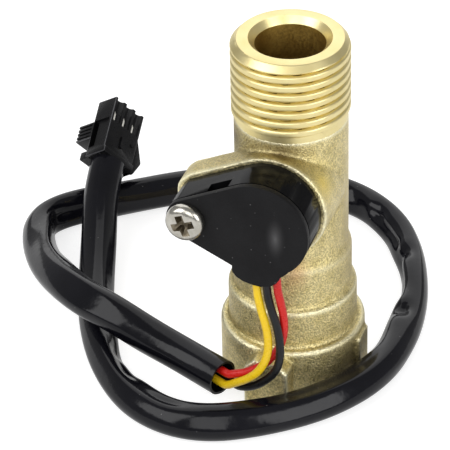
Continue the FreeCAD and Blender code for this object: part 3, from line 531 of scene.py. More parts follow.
# %% Smooth lines
def smooth_line(name, points, thickness=0.0):
    """A curve through a cord's route. Order and end point are set once the points exist."""
    curve = bpy.data.curves.new(name, "CURVE")
    curve.dimensions = "3D"
    spline = curve.splines.new("NURBS")
    spline.points.add(len(points) - 1)
    for control, point in zip(spline.points, points):
        control.co = (*point, 1)
    spline.order_u = 3
    spline.use_endpoint_u = True
    curve.resolution_u = 14
    curve.bevel_depth = thickness
    curve.bevel_resolution = 8
    curve.use_fill_caps = True
    obj = bpy.data.objects.new(name, curve)
    bpy.context.collection.objects.link(obj)
    return obj


def points_along(obj):
    """The points that Blender itself works out along a curve with no thickness."""
    mesh = bpy.data.meshes.new_from_object(obj)
    points = [vertex.co.copy() for vertex in mesh.vertices]
    bpy.data.meshes.remove(mesh)
    return points


def length_of(points):
    return sum((b - a).length for a, b in zip(points, points[1:]))


# %% [markdown]
# The leads are soft 1.5 mm wires. They leave the clip side by side, swing to the right, and turn
# back to the left to enter the sleeve, where they go on for a few millimetres.

# %% The three leads
LEAD_DIAMETER = 0.0015
YELLOW_POINTS = [
    (-0.0010, -0.0173, 0.0360), (-0.0010, -0.01732, 0.0283), (0.0000, -0.0185, 0.0246),
    (0.0017, -0.0192, 0.0198), (0.0019, -0.0194, 0.0150), (0.0003, -0.0194, 0.0109),
    (-0.0022, -0.0190, 0.0081), (-0.0049, -0.0183, 0.0061), (-0.0067, -0.0178, 0.0047),
    (-0.0082, -0.0171, 0.0047), (-0.0118, -0.0155, 0.0049),
]
BLACK_POINTS = [
    (0.0009, -0.0173, 0.0360), (0.0009, -0.01732, 0.0283), (0.0017, -0.0181, 0.0248),
    (0.0033, -0.0185, 0.0204), (0.0040, -0.0188, 0.0155), (0.0033, -0.0187, 0.0112),
    (0.0010, -0.0183, 0.0080), (-0.0018, -0.0179, 0.0056), (-0.0046, -0.0173, 0.0046),
    (-0.0059, -0.0162, 0.0044), (-0.0074, -0.0155, 0.0044), (-0.0110, -0.0140, 0.0046),
]
RED_POINTS = [
    (0.0028, -0.0173, 0.0360), (0.0028, -0.01732, 0.0283), (0.0035, -0.0172, 0.0250),
    (0.0041, -0.0171, 0.0212), (0.0039, -0.0170, 0.0170), (0.0025, -0.0170, 0.0135),
    (0.0002, -0.0171, 0.0104), (-0.0028, -0.0174, 0.0083), (-0.0054, -0.0173, 0.0073),
    (-0.0064, -0.0172, 0.0068), (-0.0079, -0.0165, 0.0068), (-0.0115, -0.0148, 0.0069),
]
LEADS = [
    ("yellow_lead", YELLOW_POINTS, yellow_pvc, "yellow_pvc"),
    ("black_lead", BLACK_POINTS, black_pvc, "black_pvc"),
    ("red_lead", RED_POINTS, red_pvc, "red_pvc"),
]
for name, points, material, slot in LEADS:
    bare_line = smooth_line(name + "_line", points)
    lead_length = length_of(points_along(bare_line))
    bpy.data.objects.remove(bare_line)
    lead = smooth_line(name + "_wire", points, LEAD_DIAMETER / 2)
    hand_in(lead, material, slot, name)
    print(name, "is", round(lead_length / MM, 1), "mm long")

# %% [markdown]
# The sleeve is thin, soft tubing with loose wires inside, so it goes flat and creases where it
# bends. It is built ring by ring along the smooth line. Each ring is a circle that is squeezed to
# an oval, cut by flat facets and dented, by amounts that depend on how far along the tube it is.
# It lies flat where it meets the table, and its wall is doubled at the open mouth.

# %% Route of the sleeve
SLEEVE_POINTS = [
    (-0.0079, -0.0166, 0.0053), (-0.0153, -0.0133, 0.0055), (-0.0236, -0.0116, 0.0075),
    (-0.0310, -0.0106, 0.0105), (-0.0389, -0.0074, 0.0107), (-0.0485, 0.0026, 0.0076),
    (-0.0554, 0.0136, 0.0044), (-0.0586, 0.0220, 0.0034), (-0.0552, 0.0282, 0.0034),
    (-0.0465, 0.0344, 0.0034), (-0.0345, 0.0432, 0.0034), (-0.0200, 0.0498, 0.0034),
    (-0.0055, 0.0494, 0.0034), (0.0055, 0.0432, 0.0034), (0.0126, 0.0325, 0.0034),
    (0.0168, 0.0205, 0.0034), (0.0185, 0.0080, 0.0034), (0.0172, -0.0040, 0.0034),
    (0.0114, -0.0144, 0.0034), (0.0020, -0.0228, 0.0034), (-0.0085, -0.0284, 0.0034),
    (-0.0195, -0.0266, 0.0034), (-0.0295, -0.0175, 0.0034), (-0.0368, -0.0050, 0.0034),
    (-0.0414, 0.0076, 0.0036), (-0.0449, 0.0182, 0.0058), (-0.0479, 0.0270, 0.0093),
    (-0.0486, 0.0330, 0.0119),
]
SLEEVE_RADIUS = 0.0034
SLEEVE_WALL = 0.00045
SLEEVE_SIDES = 72

route = smooth_line("sleeve_route", SLEEVE_POINTS)
sleeve_path = points_along(route)
bpy.data.objects.remove(route)


# %% Frames along the sleeve
def frames_along(points):
    """At each point: the place, the way along, a sideways and an upward direction, the distance."""
    result, distance = [], 0.0
    for index, point in enumerate(points):
        before, after = points[max(index - 1, 0)], points[min(index + 1, len(points) - 1)]
        along = (after - before).normalized()
        side = along.cross(Vector((0, 0, 1))).normalized()
        up = side.cross(along).normalized()
        if index:
            distance += (point - points[index - 1]).length
        result.append((point, along, side, up, distance))
    return result


def near(value, middle, width):
    """1 at the middle, falling softly to 0 at about twice the width."""
    return math.exp(-((value - middle) / width) ** 2)


# %% Shape of the sleeve's section
# Each row says where along the sleeve (mm), half how long (mm), at which angle round it (degrees,
# 0 = the inside of the loop, 90 = up) and how much: a share of the radius for an oval, and mm for
# a facet, a hollow or a dent. A facet's last number is its twist in degrees for each mm. Facets
# start just outside the circle, hollows are broad and dents are narrow.
OVALS = [
    (34, 16, 130, 0.06), (54, 14, 110, 0.09), (76, 8, 40, 0.06), (160, 16, 0, 0.12),
    (214, 22, 120, 0.05), (244, 14, 130, 0.06), (284, 18, 85, 0.05),
]
FACETS = [
    (32, 11, 130, 1.2, 0), (15, 9, 95, 0.4, 0), (58, 13, 120, 0.7, -2.2), (58, 14, 26, 1.0, -2.2),
    (78, 8, 10, 0.9, 0), (92, 12, 60, 0.4, 0), (150, 14, 95, 0.8, 0), (164, 9, -5, 1.3, 0),
    (174, 10, 100, 0.7, 0), (200, 22, 84, 0.7, 0), (218, 26, 143, 0.55, 0), (246, 14, 72, 0.9, 0),
    (250, 10, 150, 0.5, 0), (282, 24, 122, 0.5, 0), (284, 22, 36, 0.7, 0),
]
HOLLOWS = [
    (72, 6, 15, 1.3), (137, 5, 15, 1.1), (148, 5, 25, 1.8), (160, 5, 5, 1.4), (170, 4, 25, 1.2),
    (254, 7, 25, 0.9),
]
DENTS = [
    (73, 3, 40, 0.7), (80, 3, 60, 0.6), (134, 3, 60, 0.6), (143, 2, 50, 1.2), (153, 3, 42, 1.2),
    (158, 2, 62, 1.4), (166, 3, 20, 0.9), (177, 2, 70, 1.4), (187, 5, 40, 0.6), (196, 7, 70, 0.4),
    (212, 8, 78, 0.5), (236, 5, 84, 0.6), (249, 3, 45, 0.7), (256, 3, 30, 0.8), (263, 4, 60, 0.5),
]
RIPPLE, RIPPLE_PACE = 0.015, 120
FACET_START, FACET_EDGE = 1.02, 0.2
HOLLOW_SHARPNESS, DENT_SHARPNESS = 2, 5


def softly_least(a, b, blend=0.00045):
    """The smaller of two lengths, with a small round where they meet."""
    closeness = max(blend - abs(a - b), 0) / blend
    return min(a, b) - closeness * closeness * blend / 4


def sleeve_reach(distance, angle):
    """Distance of the tube's surface from its line, at this place along and round it."""
    ripple = noise.noise(Vector((distance * RIPPLE_PACE, 0.4, 0.7)))
    reach = SLEEVE_RADIUS * (1 - RIPPLE + RIPPLE * ripple)
    for middle, half, turn, share in OVALS:
        pull = near(distance, middle * MM, half * MM)
        reach *= 1 - share * pull * math.cos(2 * (angle - math.radians(turn)))
    for middle, half, turn, depth, twist in FACETS:
        away = math.cos(angle - math.radians(turn + twist * (distance / MM - middle)))
        pull = near(distance, middle * MM, half * MM)
        level = SLEEVE_RADIUS * FACET_START - depth * MM * pull
        if away > FACET_EDGE:
            reach = softly_least(reach, level / away)
    for marks, sharpness in ((HOLLOWS, HOLLOW_SHARPNESS), (DENTS, DENT_SHARPNESS)):
        for middle, half, turn, depth in marks:
            pull = near(distance, middle * MM, half * MM)
            away = math.cos(angle - math.radians(turn))
            reach -= depth * MM * pull * max(away, 0) ** sharpness
    return reach


# %% Build the sleeve
TABLE_HEIGHT = 0.0
MOUTH_DEPTH = 0.012


def build_tube(name, points, reach, sides, wall, mouth_depth):
    """Skins rings along a line, turns the wall inwards at the start and closes the far end."""
    rings = frames_along(points)
    vertices, faces = [], []
    inner = [ring for ring in rings if ring[4] <= mouth_depth]
    order = [(ring, -wall) for ring in reversed(inner)] + [(ring, 0.0) for ring in rings]
    for (point, _, side, up, distance), offset in order:
        for step in range(sides):
            angle = 2 * math.pi * step / sides
            arm = reach(distance, angle) + offset
            vertex = point + side * math.cos(angle) * arm + up * math.sin(angle) * arm
            vertex.z = max(vertex.z, TABLE_HEIGHT)
            vertices.append(vertex)
    for ring in range(len(order) - 1):
        for step in range(sides):
            following = (step + 1) % sides
            a, b = ring * sides + step, ring * sides + following
            faces.append((a, b, b + sides, a + sides))
    faces.append(tuple(reversed(range(sides))))
    faces.append(tuple(range((len(order) - 1) * sides, len(order) * sides)))
    mesh = bpy.data.meshes.new(name)
    mesh.from_pydata([tuple(vertex) for vertex in vertices], [], faces)
    obj = bpy.data.objects.new(name, mesh)
    bpy.context.collection.objects.link(obj)
    choose(obj)
    bpy.ops.object.mode_set(mode="EDIT")
    bpy.ops.mesh.select_all(action="SELECT")
    bpy.ops.mesh.normals_make_consistent(inside=False)
    bpy.ops.object.mode_set(mode="OBJECT")
    return obj


sleeve = build_tube(
    "sleeve_tube", sleeve_path, sleeve_reach, SLEEVE_SIDES, SLEEVE_WALL, MOUTH_DEPTH)
smooth(sleeve, 60)
hand_in(sleeve, sleeve_black, "sleeve_pvc", "lead_sleeve")

# %% [markdown]
# ## The casting
#
# The body is sand cast in one piece: a pipe with two stepped rings at the foot, a pad with a
# screw ear, and two small lugs. A turned solid, two cylinders with a hull round them, and plain
# blocks are laid into each other. A voxel remesh melts them into one skin, and smoothing gives it
# the soft corners that cast metal has. The bore is cut afterwards, so its edges stay crisp.

# %% Casting: rough shape
# The ear and the puck of the clip are given by their X and Z. All sizes are in millimetres.
PIPE_RADIUS, COLLAR_RADIUS = 10.05, 10.68
LOWER_RING, UPPER_RING = 13.05, 11.6
EAR = (-12.5, 41.0)
PUCK = (0.3, 41.0)
PAD_RADIUS, PAD_EAR_RADIUS, PAD_DEPTH, PAD_MIDDLE = 10.0, 4.6, 5.0, -9.8
CAST_FOOT, CAST_TOP = 0.25, 53.3
LUG_FRONT = -16.2

pipe = turned("casting", [
    (0, CAST_FOOT), (12.8, CAST_FOOT), (LOWER_RING, 0.5), (LOWER_RING, 9.9), (12.75, 10.4),
    (UPPER_RING, 10.45), (UPPER_RING, 17.7), (11.3, 18.1), (COLLAR_RADIUS, 18.15),
    (COLLAR_RADIUS, 26.0), (PIPE_RADIUS, 27.6), (PIPE_RADIUS, CAST_TOP), (0, CAST_TOP),
])
pad = hull(
    "pad",
    cylinder("pad_round", PAD_RADIUS, (PUCK[0], PAD_MIDDLE, PUCK[1]), PAD_DEPTH, "Y"),
    cylinder("pad_ear", PAD_EAR_RADIUS, (EAR[0], PAD_MIDDLE, EAR[1]), PAD_DEPTH, "Y"),
)
root = cylinder("pad_root", PAD_RADIUS, (PUCK[0], -6.65, PUCK[1]), 11.3, "Y")
front_lug = hull(
    "front_lug",
    block("lug_low", (-4.1, LUG_FRONT, CAST_FOOT), (4.1, -10.5, 8.1)),
    block("lug_high", (-2.2, LUG_FRONT, CAST_FOOT), (2.2, -10.5, 10.0)),
)
side_lug = block("side_lug", (10.5, -2.6, CAST_FOOT), (13.5, 2.6, 8.6))

# %% Casting: one skin
VOXEL = 0.30
WEAR_AND_HIGHLIGHT_GAIN = 32
UNEVENNESS, UNEVENNESS_SIZE = 0.035, 0.45
INLET_CORE, CHAMBER_RADIUS, OUTLET_CORE = 10.95, 8.0, 9.4
TAPPED_RADIUS = 2.05
choose(pipe, pad, root, front_lug, side_lug)
bpy.ops.object.join()
casting = settle("brass_casting")
modify(casting, "REMESH", mode="VOXEL", voxel_size=VOXEL * MM, adaptivity=0)
modify(casting, "SMOOTH", factor=0.5, iterations=5)
# Convex edges and ring shoulders are marked for a lighter colour: partly rubbed metal, partly a
# painted highlight.
mark_edges(casting, WEAR_AND_HIGHLIGHT_GAIN)
clouds = bpy.data.textures.new("cast_unevenness", "CLOUDS")
clouds.noise_scale = UNEVENNESS_SIZE * MM
modify(
    casting, "DISPLACE", texture=clouds, texture_coords="LOCAL",
    strength=UNEVENNESS * MM, mid_level=0.5,
)
combine(casting, turned("bore_core", [
    (0, -1), (INLET_CORE, -1), (INLET_CORE, 13.0), (CHAMBER_RADIUS, 13.0), (CHAMBER_RADIUS, 52.2),
    (OUTLET_CORE, 52.2), (OUTLET_CORE, 54), (0, 54),
]))
combine(casting, cylinder("tapped_hole", TAPPED_RADIUS, (EAR[0], -9, EAR[1]), 10, "Y", 48))
smooth(casting, 50)
hand_in(casting, cast_brass, "cast_brass", "flow_body")

# %% [markdown]
# ## The turned outlet
#
# The top of the body was in a lathe: a bright relief band, the thread, a chamfer and the end
# face. The ring is turned with many rows, and then each row is pushed in or out by where it is on
# the screw line, which gives one true helical thread with its lead-in and run-out. The faces at the
# bottom of the thread and in the bore get darker finishes, as painted shade.

# %% Outlet: ring with rows for the thread
THREAD_START, THREAD_END = 54.5, 68.5
THREAD_PITCH = 1.814
CREST, ROOT = 10.4775, 9.32
CREST_BREADTH = 4.5
LEAD_IN_RADIUS, LEAD_IN_SLOPE = 9.36, 0.95
BAND_RADIUS, RUN_OUT_SLOPE = 9.97, 2.0
BORE_RADIUS, MOUTH_RADIUS, MOUTH_LEVEL = 6.2, 7.3, 67.3
ROW = 0.125
rows = [THREAD_START + ROW * step for step in range(int((THREAD_END - THREAD_START) / ROW))]
outlet = turned("outlet_thread", (
    [(9.0, 52.4), (9.86, 52.4), (9.86, 52.9), (BAND_RADIUS, 53.0), (BAND_RADIUS, 54.35)]
    + [(ROOT, height) for height in rows]
    + [(ROOT, THREAD_END - 0.05), (ROOT - 0.05, THREAD_END), (7.32, THREAD_END),
       (MOUTH_RADIUS, 68.46), (6.25, 67.42), (BORE_RADIUS, MOUTH_LEVEL), (BORE_RADIUS, 52.4),
       (9.0, 52.4)]
), steps=160)


# %% Outlet: raise the thread
def thread_reach(height, turn):
    """Radius of the thread's surface at this height and turn."""
    phase = ((height - THREAD_START) / THREAD_PITCH - turn / (2 * math.pi)) % 1.0
    reach = ROOT + (CREST - ROOT) * (1 - abs(2 * phase - 1) ** CREST_BREADTH)
    lead_in = LEAD_IN_RADIUS + (THREAD_END - height) * LEAD_IN_SLOPE
    run_out = max(BAND_RADIUS - (height - THREAD_START) * RUN_OUT_SLOPE, ROOT)
    return min(max(reach, run_out), lead_in)


for vertex in outlet.data.vertices:
    place = vertex.co / MM
    radius = math.hypot(place.x, place.y)
    if THREAD_START - 0.02 <= place.z <= THREAD_END - 0.02 and abs(radius - ROOT) < 0.01:
        reach = thread_reach(place.z, math.atan2(place.y, place.x))
        vertex.co.x *= reach / radius
        vertex.co.y *= reach / radius
smooth(outlet, 40)
hand_in(outlet, turned_brass, "cast_brass", "flow_body")

# %% Outlet: painted shade in the bore and grooves
GROOVE_LOW, GROOVE_HIGH, GROOVE_FLOOR = 55.4, 67.2, 0.34
outlet.data.materials.append(bore_brass_painted_shade)
outlet.data.materials.append(groove_brass_painted_shade)
for face in outlet.data.polygons:
    centre = face.center / MM
    radius = math.hypot(centre.x, centre.y)
    if radius < BORE_RADIUS + 0.03 and centre.z < MOUTH_LEVEL:
        face.material_index = 1
    if GROOVE_LOW < centre.z < GROOVE_HIGH and abs(radius - ROOT) < GROOVE_FLOOR:
        face.material_index = 2

# %% [markdown]
# ## The turned foot
#
# The inlet is machined too: a flat sealing face and an inside thread. It is made in the same way
# as the outlet, with the thread cut into the inner wall.

# %% Foot
INLET_MINOR, INLET_MAJOR, INLET_DEPTH = 9.3155, 10.45, 12.6
FOOT_WALL, LINER_SEAT = 11.0, 8.05
THREAD_LOW, THREAD_HIGH = 1.2, INLET_DEPTH - 0.2
FLANK_START, FLANK_WIDTH = 0.14, 0.62
inlet_rows = [INLET_DEPTH - 0.3 - ROW * step for step in range(int((INLET_DEPTH - 1.6) / ROW))]
foot = turned("inlet_thread", (
    [(10.5, 0), (12.75, 0), (12.9, 0.15), (12.9, 0.7), (FOOT_WALL, 0.7), (FOOT_WALL, 13.1),
     (LINER_SEAT, 13.1), (LINER_SEAT, INLET_DEPTH), (INLET_MINOR, INLET_DEPTH)]
    + [(INLET_MINOR, height) for height in inlet_rows]
    + [(INLET_MINOR, 1.18), (10.5, 0)]
), steps=160)
for vertex in foot.data.vertices:
    place = vertex.co / MM
    radius = math.hypot(place.x, place.y)
    if THREAD_LOW < place.z < THREAD_HIGH and abs(radius - INLET_MINOR) < 0.01:
        phase = (place.z / THREAD_PITCH - math.atan2(place.y, place.x) / (2 * math.pi)) % 1.0
        rise = min(max((1 - abs(2 * phase - 1) - FLANK_START) / FLANK_WIDTH, 0), 1)
        fade = min((place.z - THREAD_LOW) / 0.8, 1) * min((THREAD_HIGH - place.z) / 1.5, 1)
        reach = INLET_MINOR + (INLET_MAJOR - INLET_MINOR) * rise * rise * (3 - 2 * rise) * fade
        vertex.co.x *= reach / radius
        vertex.co.y *= reach / radius
smooth(foot, 40)
hand_in(foot, turned_brass, "cast_brass", "flow_body")

# %% [markdown]
# ## The sensor clip
#
# The head is a two-part moulding with a teardrop outline: a round puck over the magnet and a
# small ear for the screw. A hull over two cylinders gives exactly that outline. The base has a
# slot between puck and ear, a tab at the bottom that the leads come out of, and a round cavity.
# The cover is a plate of the same outline. Its back is set in a little all round, which leaves the
# fine dark line that shows where the two mouldings meet.

# %% Outlines of the clip
FACE_Y, BASE_Y, COVER_Y = -12.3, -18.7, -20.0
PUCK_RADIUS, EAR_RADIUS = 9.2, 3.75
SCREW_HOLE = 2.15


def teardrop(name, back, front, inset=0.0):
    middle, depth = (back + front) / 2, abs(back - front)
    return hull(
        name,
        cylinder(name + "_round", PUCK_RADIUS - inset, (PUCK[0], middle, PUCK[1]), depth, "Y", 128),
        cylinder(name + "_ear", EAR_RADIUS - inset, (EAR[0], middle, EAR[1]), depth, "Y", 64),
    )


LOBE_CORNERS = [
    (-3.9, 34), (-3.9, 32.0), (-3.3, 31.2), (-2.3, 30.6), (-0.6, 30.2), (0.8, 30.1), (2.4, 30.5),
    (3.3, 31.2), (3.8, 32.0), (3.8, 34),
]
LOBE_ROOT = [(3.2, 31.8), (5.3, 33.7), (5.3, 34.6), (2, 34.6)]


def lobe(name, back, front):
    """The rounded tab at the bottom of the clip, and the web on its right side."""
    middle, depth = (back + front) / 2, abs(back - front)
    forms = []
    for corners in (LOBE_CORNERS, LOBE_ROOT):
        rounds = [
            cylinder(name + "_corner", 0.5, (x, middle, z), depth, "Y", 16) for x, z in corners]
        forms.append(hull(name, *rounds))
    tab, web = forms
    return combine(tab, web, "UNION")


# %% Clip base
clip_base = teardrop("clip_base", FACE_Y, BASE_Y)
combine(clip_base, lobe("base_lobe", -15.3, BASE_Y), "UNION")
combine(clip_base, block("slot", (-9.1, -18.8, 30), (-5.2, -16.4, 52)))
combine(clip_base, cylinder("cavity", 7.8, (PUCK[0], -17.2, PUCK[1]), 3.3, "Y", 96))
combine(clip_base, cylinder("well", 6.4, (PUCK[0], -15.0, PUCK[1]), 3.0, "Y", 96))
combine(clip_base, cylinder("screw_hole", SCREW_HOLE, (EAR[0], -15.5, EAR[1]), 8, "Y", 48))
combine(clip_base, block("lead_slot", (-1.9, -18.2, 28), (3.7, -16.4, 36)))
soften(clip_base, 0.22)
smooth(clip_base)
hand_in(clip_base, base_black, "clip_plastic", "sensor_base")

# %% Clip cover
SEAM_INSET, SEAM_Y = 0.55, BASE_Y - 0.26
clip_cover = teardrop("clip_cover", SEAM_Y, COVER_Y)
combine(clip_cover, lobe("cover_lobe", SEAM_Y, COVER_Y), "UNION")
soften(clip_cover, 0.30, 3)
combine(clip_cover, teardrop("seam", BASE_Y - 0.02, SEAM_Y - 0.3, SEAM_INSET), "UNION")
combine(clip_cover, cylinder("cover_hole", SCREW_HOLE, (EAR[0], -19.3, EAR[1]), 3, "Y", 48))
smooth(clip_cover)
hand_in(clip_cover, cover_black, "clip_plastic", "sensor_cover")

# %% [markdown]
# ## The screw
#
# A nickel plated pan head with a cross recess. The head and shank are turned. The recess is cut
# with two tapered bars across each other and a short, broad one between them, which opens its
# middle. A small bevel breaks its edges, which is where the plating shines. The walls of the recess
# get a darker, duller finish, which is painted shade.

# %% Screw
HEAD_RADIUS, HEAD_HEIGHT = 3.5, 2.4
screw = turned("pan_screw", [
    (0, -12.4), (1.6, -12.4), (2.0, -12.0), (2.0, 0.0), (3.3, 0.0), (3.45, 0.1),
    (HEAD_RADIUS, 0.35), (HEAD_RADIUS, 0.95), (3.38, 1.4), (3.1, 1.8), (2.6, 2.1), (1.8, 2.3),
    (0.9, 2.38), (0, HEAD_HEIGHT),
], steps=72)


def recess_bar(turn, top_arm=2.45, floor_arm=1.1, top_half=0.80, floor_half=0.42):
    """One arm pair of the cross, wider and longer at the top than at its floor."""
    bpy.ops.mesh.primitive_cube_add(size=2)
    bar = settle("recess_bar")
    for vertex in bar.data.vertices:
        top = vertex.co.z > 0
        vertex.co.x *= (top_arm if top else floor_arm) * MM
        vertex.co.y *= (top_half if top else floor_half) * MM
        vertex.co.z = (HEAD_HEIGHT + 0.3 if top else HEAD_HEIGHT - 1.6) * MM
    bar.rotation_euler.z = turn
    choose(bar)
    bpy.ops.object.transform_apply(rotation=True)
    return bar


combine(screw, recess_bar(math.radians(20)))
combine(screw, recess_bar(math.radians(110)))
combine(screw, recess_bar(math.radians(65), 1.05, 0.5, 1.05, 0.5))
soften(screw, 0.12, 2, 28)
screw.rotation_euler.x = math.pi / 2
screw.location = (EAR[0] * MM, COVER_Y * MM, EAR[1] * MM)
choose(screw)
bpy.ops.object.transform_apply(location=True, rotation=True)
smooth(screw, 40)
hand_in(screw, nickel, "nickel_steel", "clamp_screw")

# %% Screw: painted shade in the recess
RECESS_REACH, RECESS_RIM, RECESS_FLOOR = 2.5, 2.12, 0.4
screw.data.materials.append(recess_painted_shade)
for face in screw.data.polygons:
    centre = face.center / MM
    off_axis = math.hypot(centre.x - EAR[0], centre.z - EAR[1])
    if off_axis < RECESS_REACH and COVER_Y - RECESS_RIM < centre.y < COVER_Y - RECESS_FLOOR:
        face.material_index = 1

# %% [markdown]
# ## The plug
#
# A three way wire-to-wire plug: a narrow box with a rim at its foot, a ridged thumb pad on one
# side, a slanted wing with a slot on another, and the tinned contacts in three open channels at the
# mating end. Each block is softened before it is joined on, because a bevel can't pass the tiny
# edges that a boolean leaves. The plug is built upright at the origin and then turned onto the end
# of the sleeve. The slim bevel faces of its front side get a lighter finish, which is a painted
# highlight.

# %% Place of the plug
plug_end, plug_before = Vector(SLEEVE_POINTS[-1]), Vector(SLEEVE_POINTS[-2])
plug_axis = (plug_end - plug_before).normalized()
plug_broad = Vector((0.832, -0.141, 0.536))
plug_broad = (plug_broad - plug_axis * plug_broad.dot(plug_axis)).normalized()
plug_side = plug_broad.cross(plug_axis)
plug_turn = Matrix((plug_side, plug_broad, plug_axis)).transposed().to_4x4()
plug_place = Matrix.Translation(plug_end) @ plug_turn


def onto_sleeve(obj):
    obj.matrix_world = plug_place
    choose(obj)
    bpy.ops.object.transform_apply(location=True, rotation=True)
    return obj


# %% Plug housing: shell, rim, wing, thumb pad
HALF_X, HALF_Y, PLUG_TOP, PLUG_PITCH = 3.95, 2.45, 12.8, 2.5
CHANNEL_START = PLUG_TOP - 5.1
CELLS = (-PLUG_PITCH, 0, PLUG_PITCH)
CELL_HALF = 0.85
EDGE = 0.14

plug = soften(block("plug_shell", (-HALF_X, -HALF_Y, 0), (HALF_X, HALF_Y, PLUG_TOP)), EDGE)
rim_band = block("rim_band", (-HALF_X - 0.25, -HALF_Y, 0), (HALF_X, HALF_Y + 0.25, 1.3))
combine(plug, soften(rim_band, EDGE), "UNION")
wing = hull(
    "wing", block("wing_low", (-5.2, -1.6, 0.2), (-3.6, 1.7, 0.5)),
    block("wing_mid", (-6.5, -1.6, 3.2), (-3.6, 1.7, 3.6)),
    block("wing_high", (-4.0, -1.6, 8.2), (-3.6, 1.7, 8.6)),
)
combine(wing, block("wing_slot", (-5.3, -0.9, -1), (-4.3, 1.1, 4.6)))
combine(plug, wing, "UNION")
thumb_pad = block("thumb_pad", (HALF_X - 4.4, -6.5, 4.4), (HALF_X, -1.4, 8.2))
combine(plug, soften(thumb_pad, EDGE), "UNION")
foot_flange = block("foot_flange", (HALF_X - 5.0, -4.5, 0), (HALF_X - 0.4, -1.4, 1.7))
combine(plug, soften(foot_flange, EDGE), "UNION")
combine(plug, block("side_hollow", (HALF_X - 0.5, -2.1, 1.9), (HALF_X + 0.5, 1.8, 8.2)))
combine(plug, block("arm_slot", (2.2, -2.2, 2.6), (HALF_X + 0.5, -1.3, 7.9)))
combine(plug, block("arm_gap", (-1.0, -HALF_Y - 1.3, 1.7), (HALF_X + 0.5, -HALF_Y, 3.9)))
for step in range(4):
    low = 4.75 + 0.85 * step
    combine(plug, block("ridge_gap", (-3, -6.9, low), (5, -6.1, low + 0.4)))
    combine(plug, block("ridge_line", (HALF_X - 0.3, -6.9, low), (5, -2.7, low + 0.35)))

# %% Plug housing: cells, channels and bosses
for middle in CELLS:
    left, right = middle - CELL_HALF, middle + CELL_HALF
    combine(plug, block("cell", (left, -CELL_HALF, 0.9), (right, CELL_HALF, 14)))
    combine(plug, cylinder("channel", 0.95, (middle, HALF_Y + 0.1, CHANNEL_START + 5), 10, "Z", 32))
    window_low, window_high = CHANNEL_START - 0.07, CHANNEL_START + 2.27
    combine(plug, block("window", (middle + 0.4, 0.5, window_low), (right, 3, window_high)))
front_rib = hull(
    "front_rib",
    cylinder("rib_low", 0.45, (-0.1, 2.5, 3.3), 0.6, "Y", 24),
    cylinder("rib_high", 0.45, (-0.1, 2.5, 5.3), 0.6, "Y", 24),
)
combine(plug, front_rib, "UNION")
combine(plug, cylinder("side_rib", 0.4, (-2.8, 2.45, 5.2), 0.4, "Y", 24), "UNION")
soften(plug, 0.12)

# %% Plug housing: lit edges
SLIM, SQUARE_ON, SIDE_DEPTH = 0.16, 0.98, 0.2
plug_points = plug.data.vertices
lit_faces = []
for face in plug.data.polygons:
    longest = max((plug_points[a].co - plug_points[b].co).length for a, b in face.edge_keys)
    slanted = max(abs(value) for value in face.normal) < SQUARE_ON
    slim = face.area < SLIM * MM * longest
    if slanted and slim and face.center.x > (HALF_X - SIDE_DEPTH) * MM:
        lit_faces.append(face.index)
smooth(onto_sleeve(plug))
hand_in(plug, nylon_black, "plug_nylon", "plug_housing")
# The lighter finish on these slim edge faces is a painted highlight.
plug.data.materials.append(nylon_painted_highlight)
for index in lit_faces:
    plug.data.polygons[index].material_index = 1
print("the plug has", len(lit_faces), "lit edge faces")

# %% Plug contacts
strips = []
for middle in CELLS:
    strip = block("contact_strip", (middle - 0.83, -0.83, 1.9), (middle + 0.83, 0.83, 11.5))
    combine(strip, block("strip_bore", (middle - 0.6, -0.6, 2.1), (middle + 0.6, 0.6, 12)))
    low, side = CHANNEL_START, middle + 0.82
    tongue = hull(
        "tongue",
        block("tongue_low", (middle + 0.36, 0.7, low), (side, 2.2, low + 1.5)),
        block("tongue_high", (middle + 0.52, 0.7, low), (side, 1.9, low + 2.3)),
    )
    combine(strip, tongue, "UNION")
    strips.append(strip)
choose(*strips)
bpy.ops.object.join()
contacts = settle("contact_strips")
soften(contacts, 0.06)
smooth(onto_sleeve(contacts))
hand_in(contacts, tinned, "tinned_bronze", "plug_contacts")

# %% [markdown]
# ## Floor and light
#
# A catalogue picture is lit high-key: the table is white right up to the edge of the frame, while
# black plastic stays black. The table glows by itself, more for the eye than for what stands on it,
# so only a faint shadow is left under the hose. A large soft light stands at the upper left, weaker
# ones beside the camera and at the right, and a broad one behind for the top faces. The plain
# Standard view keeps white white and brass saturated.

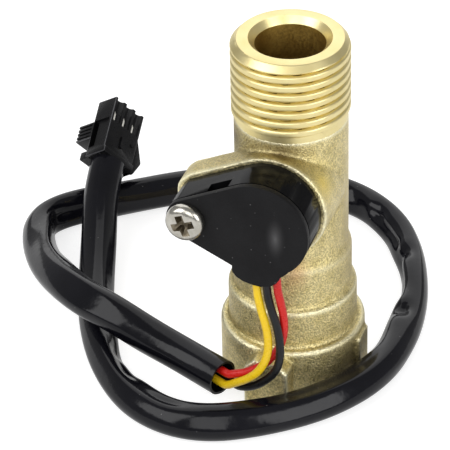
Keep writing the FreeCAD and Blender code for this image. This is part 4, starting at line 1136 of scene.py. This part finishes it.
# %% Floor
GLOW_ON_THINGS, GLOW_FOR_EYE = 0.45, 0.74
floor_white = finish("table_white", (0.50, 0.50, 0.50), (0.48, 0.48, 0.48), (0.6, 0.7), depth=0.001)
floor_nodes = floor_white.node_tree
floor_rays = floor_nodes.nodes.new("ShaderNodeLightPath")
glow = spread(floor_nodes, floor_rays.outputs["Is Camera Ray"], GLOW_ON_THINGS, GLOW_FOR_EYE)
floor_shader = floor_nodes.nodes["Principled BSDF"]
floor_shader.inputs["Emission Color"].default_value = (1, 1, 1, 1)
floor_nodes.links.new(glow, floor_shader.inputs["Emission Strength"])
bpy.ops.mesh.primitive_plane_add(size=6, location=(0, 0, 0))
floor = bpy.context.object
floor.name = "table"
floor.data.materials.append(floor_white)


# %% Lights
def soft_light(name, place, size, power, target=(0, 0, 0.03)):
    bpy.ops.object.light_add(type="AREA", location=place)
    light = bpy.context.object
    light.name = name
    light.data.shape = "SQUARE"
    light.data.size = size
    light.data.energy = power
    light.rotation_euler = (Vector(target) - Vector(place)).to_track_quat("-Z", "Y").to_euler()
    return light


soft_light("upper_left", (-0.60, -0.65, 0.75), 0.80, 6.6)
soft_light("beside_camera", (0.18, -0.85, 0.64), 0.60, 3.0)
soft_light("right_fill", (0.85, -0.40, 0.45), 0.60, 4.0)
soft_light("back_top", (-0.25, 0.85, 0.70), 1.3, 5.8)

# %% Sky, the same white for the eye as the table
SKY_STRENGTH, SKY_FOR_EYE = 0.37, 1.0
world = bpy.data.worlds.new("studio")
bpy.context.scene.world = world
world.use_nodes = True
sky = world.node_tree.nodes["Background"]
sky.inputs["Color"].default_value = (1, 1, 1, 1)
rays = world.node_tree.nodes.new("ShaderNodeLightPath")
brightness = world.node_tree.nodes.new("ShaderNodeMapRange")
brightness.inputs["To Min"].default_value = SKY_STRENGTH
brightness.inputs["To Max"].default_value = SKY_FOR_EYE
world.node_tree.links.new(rays.outputs["Is Camera Ray"], brightness.inputs["Value"])
world.node_tree.links.new(brightness.outputs["Result"], sky.inputs["Strength"])
bpy.context.scene.view_settings.view_transform = "Standard"
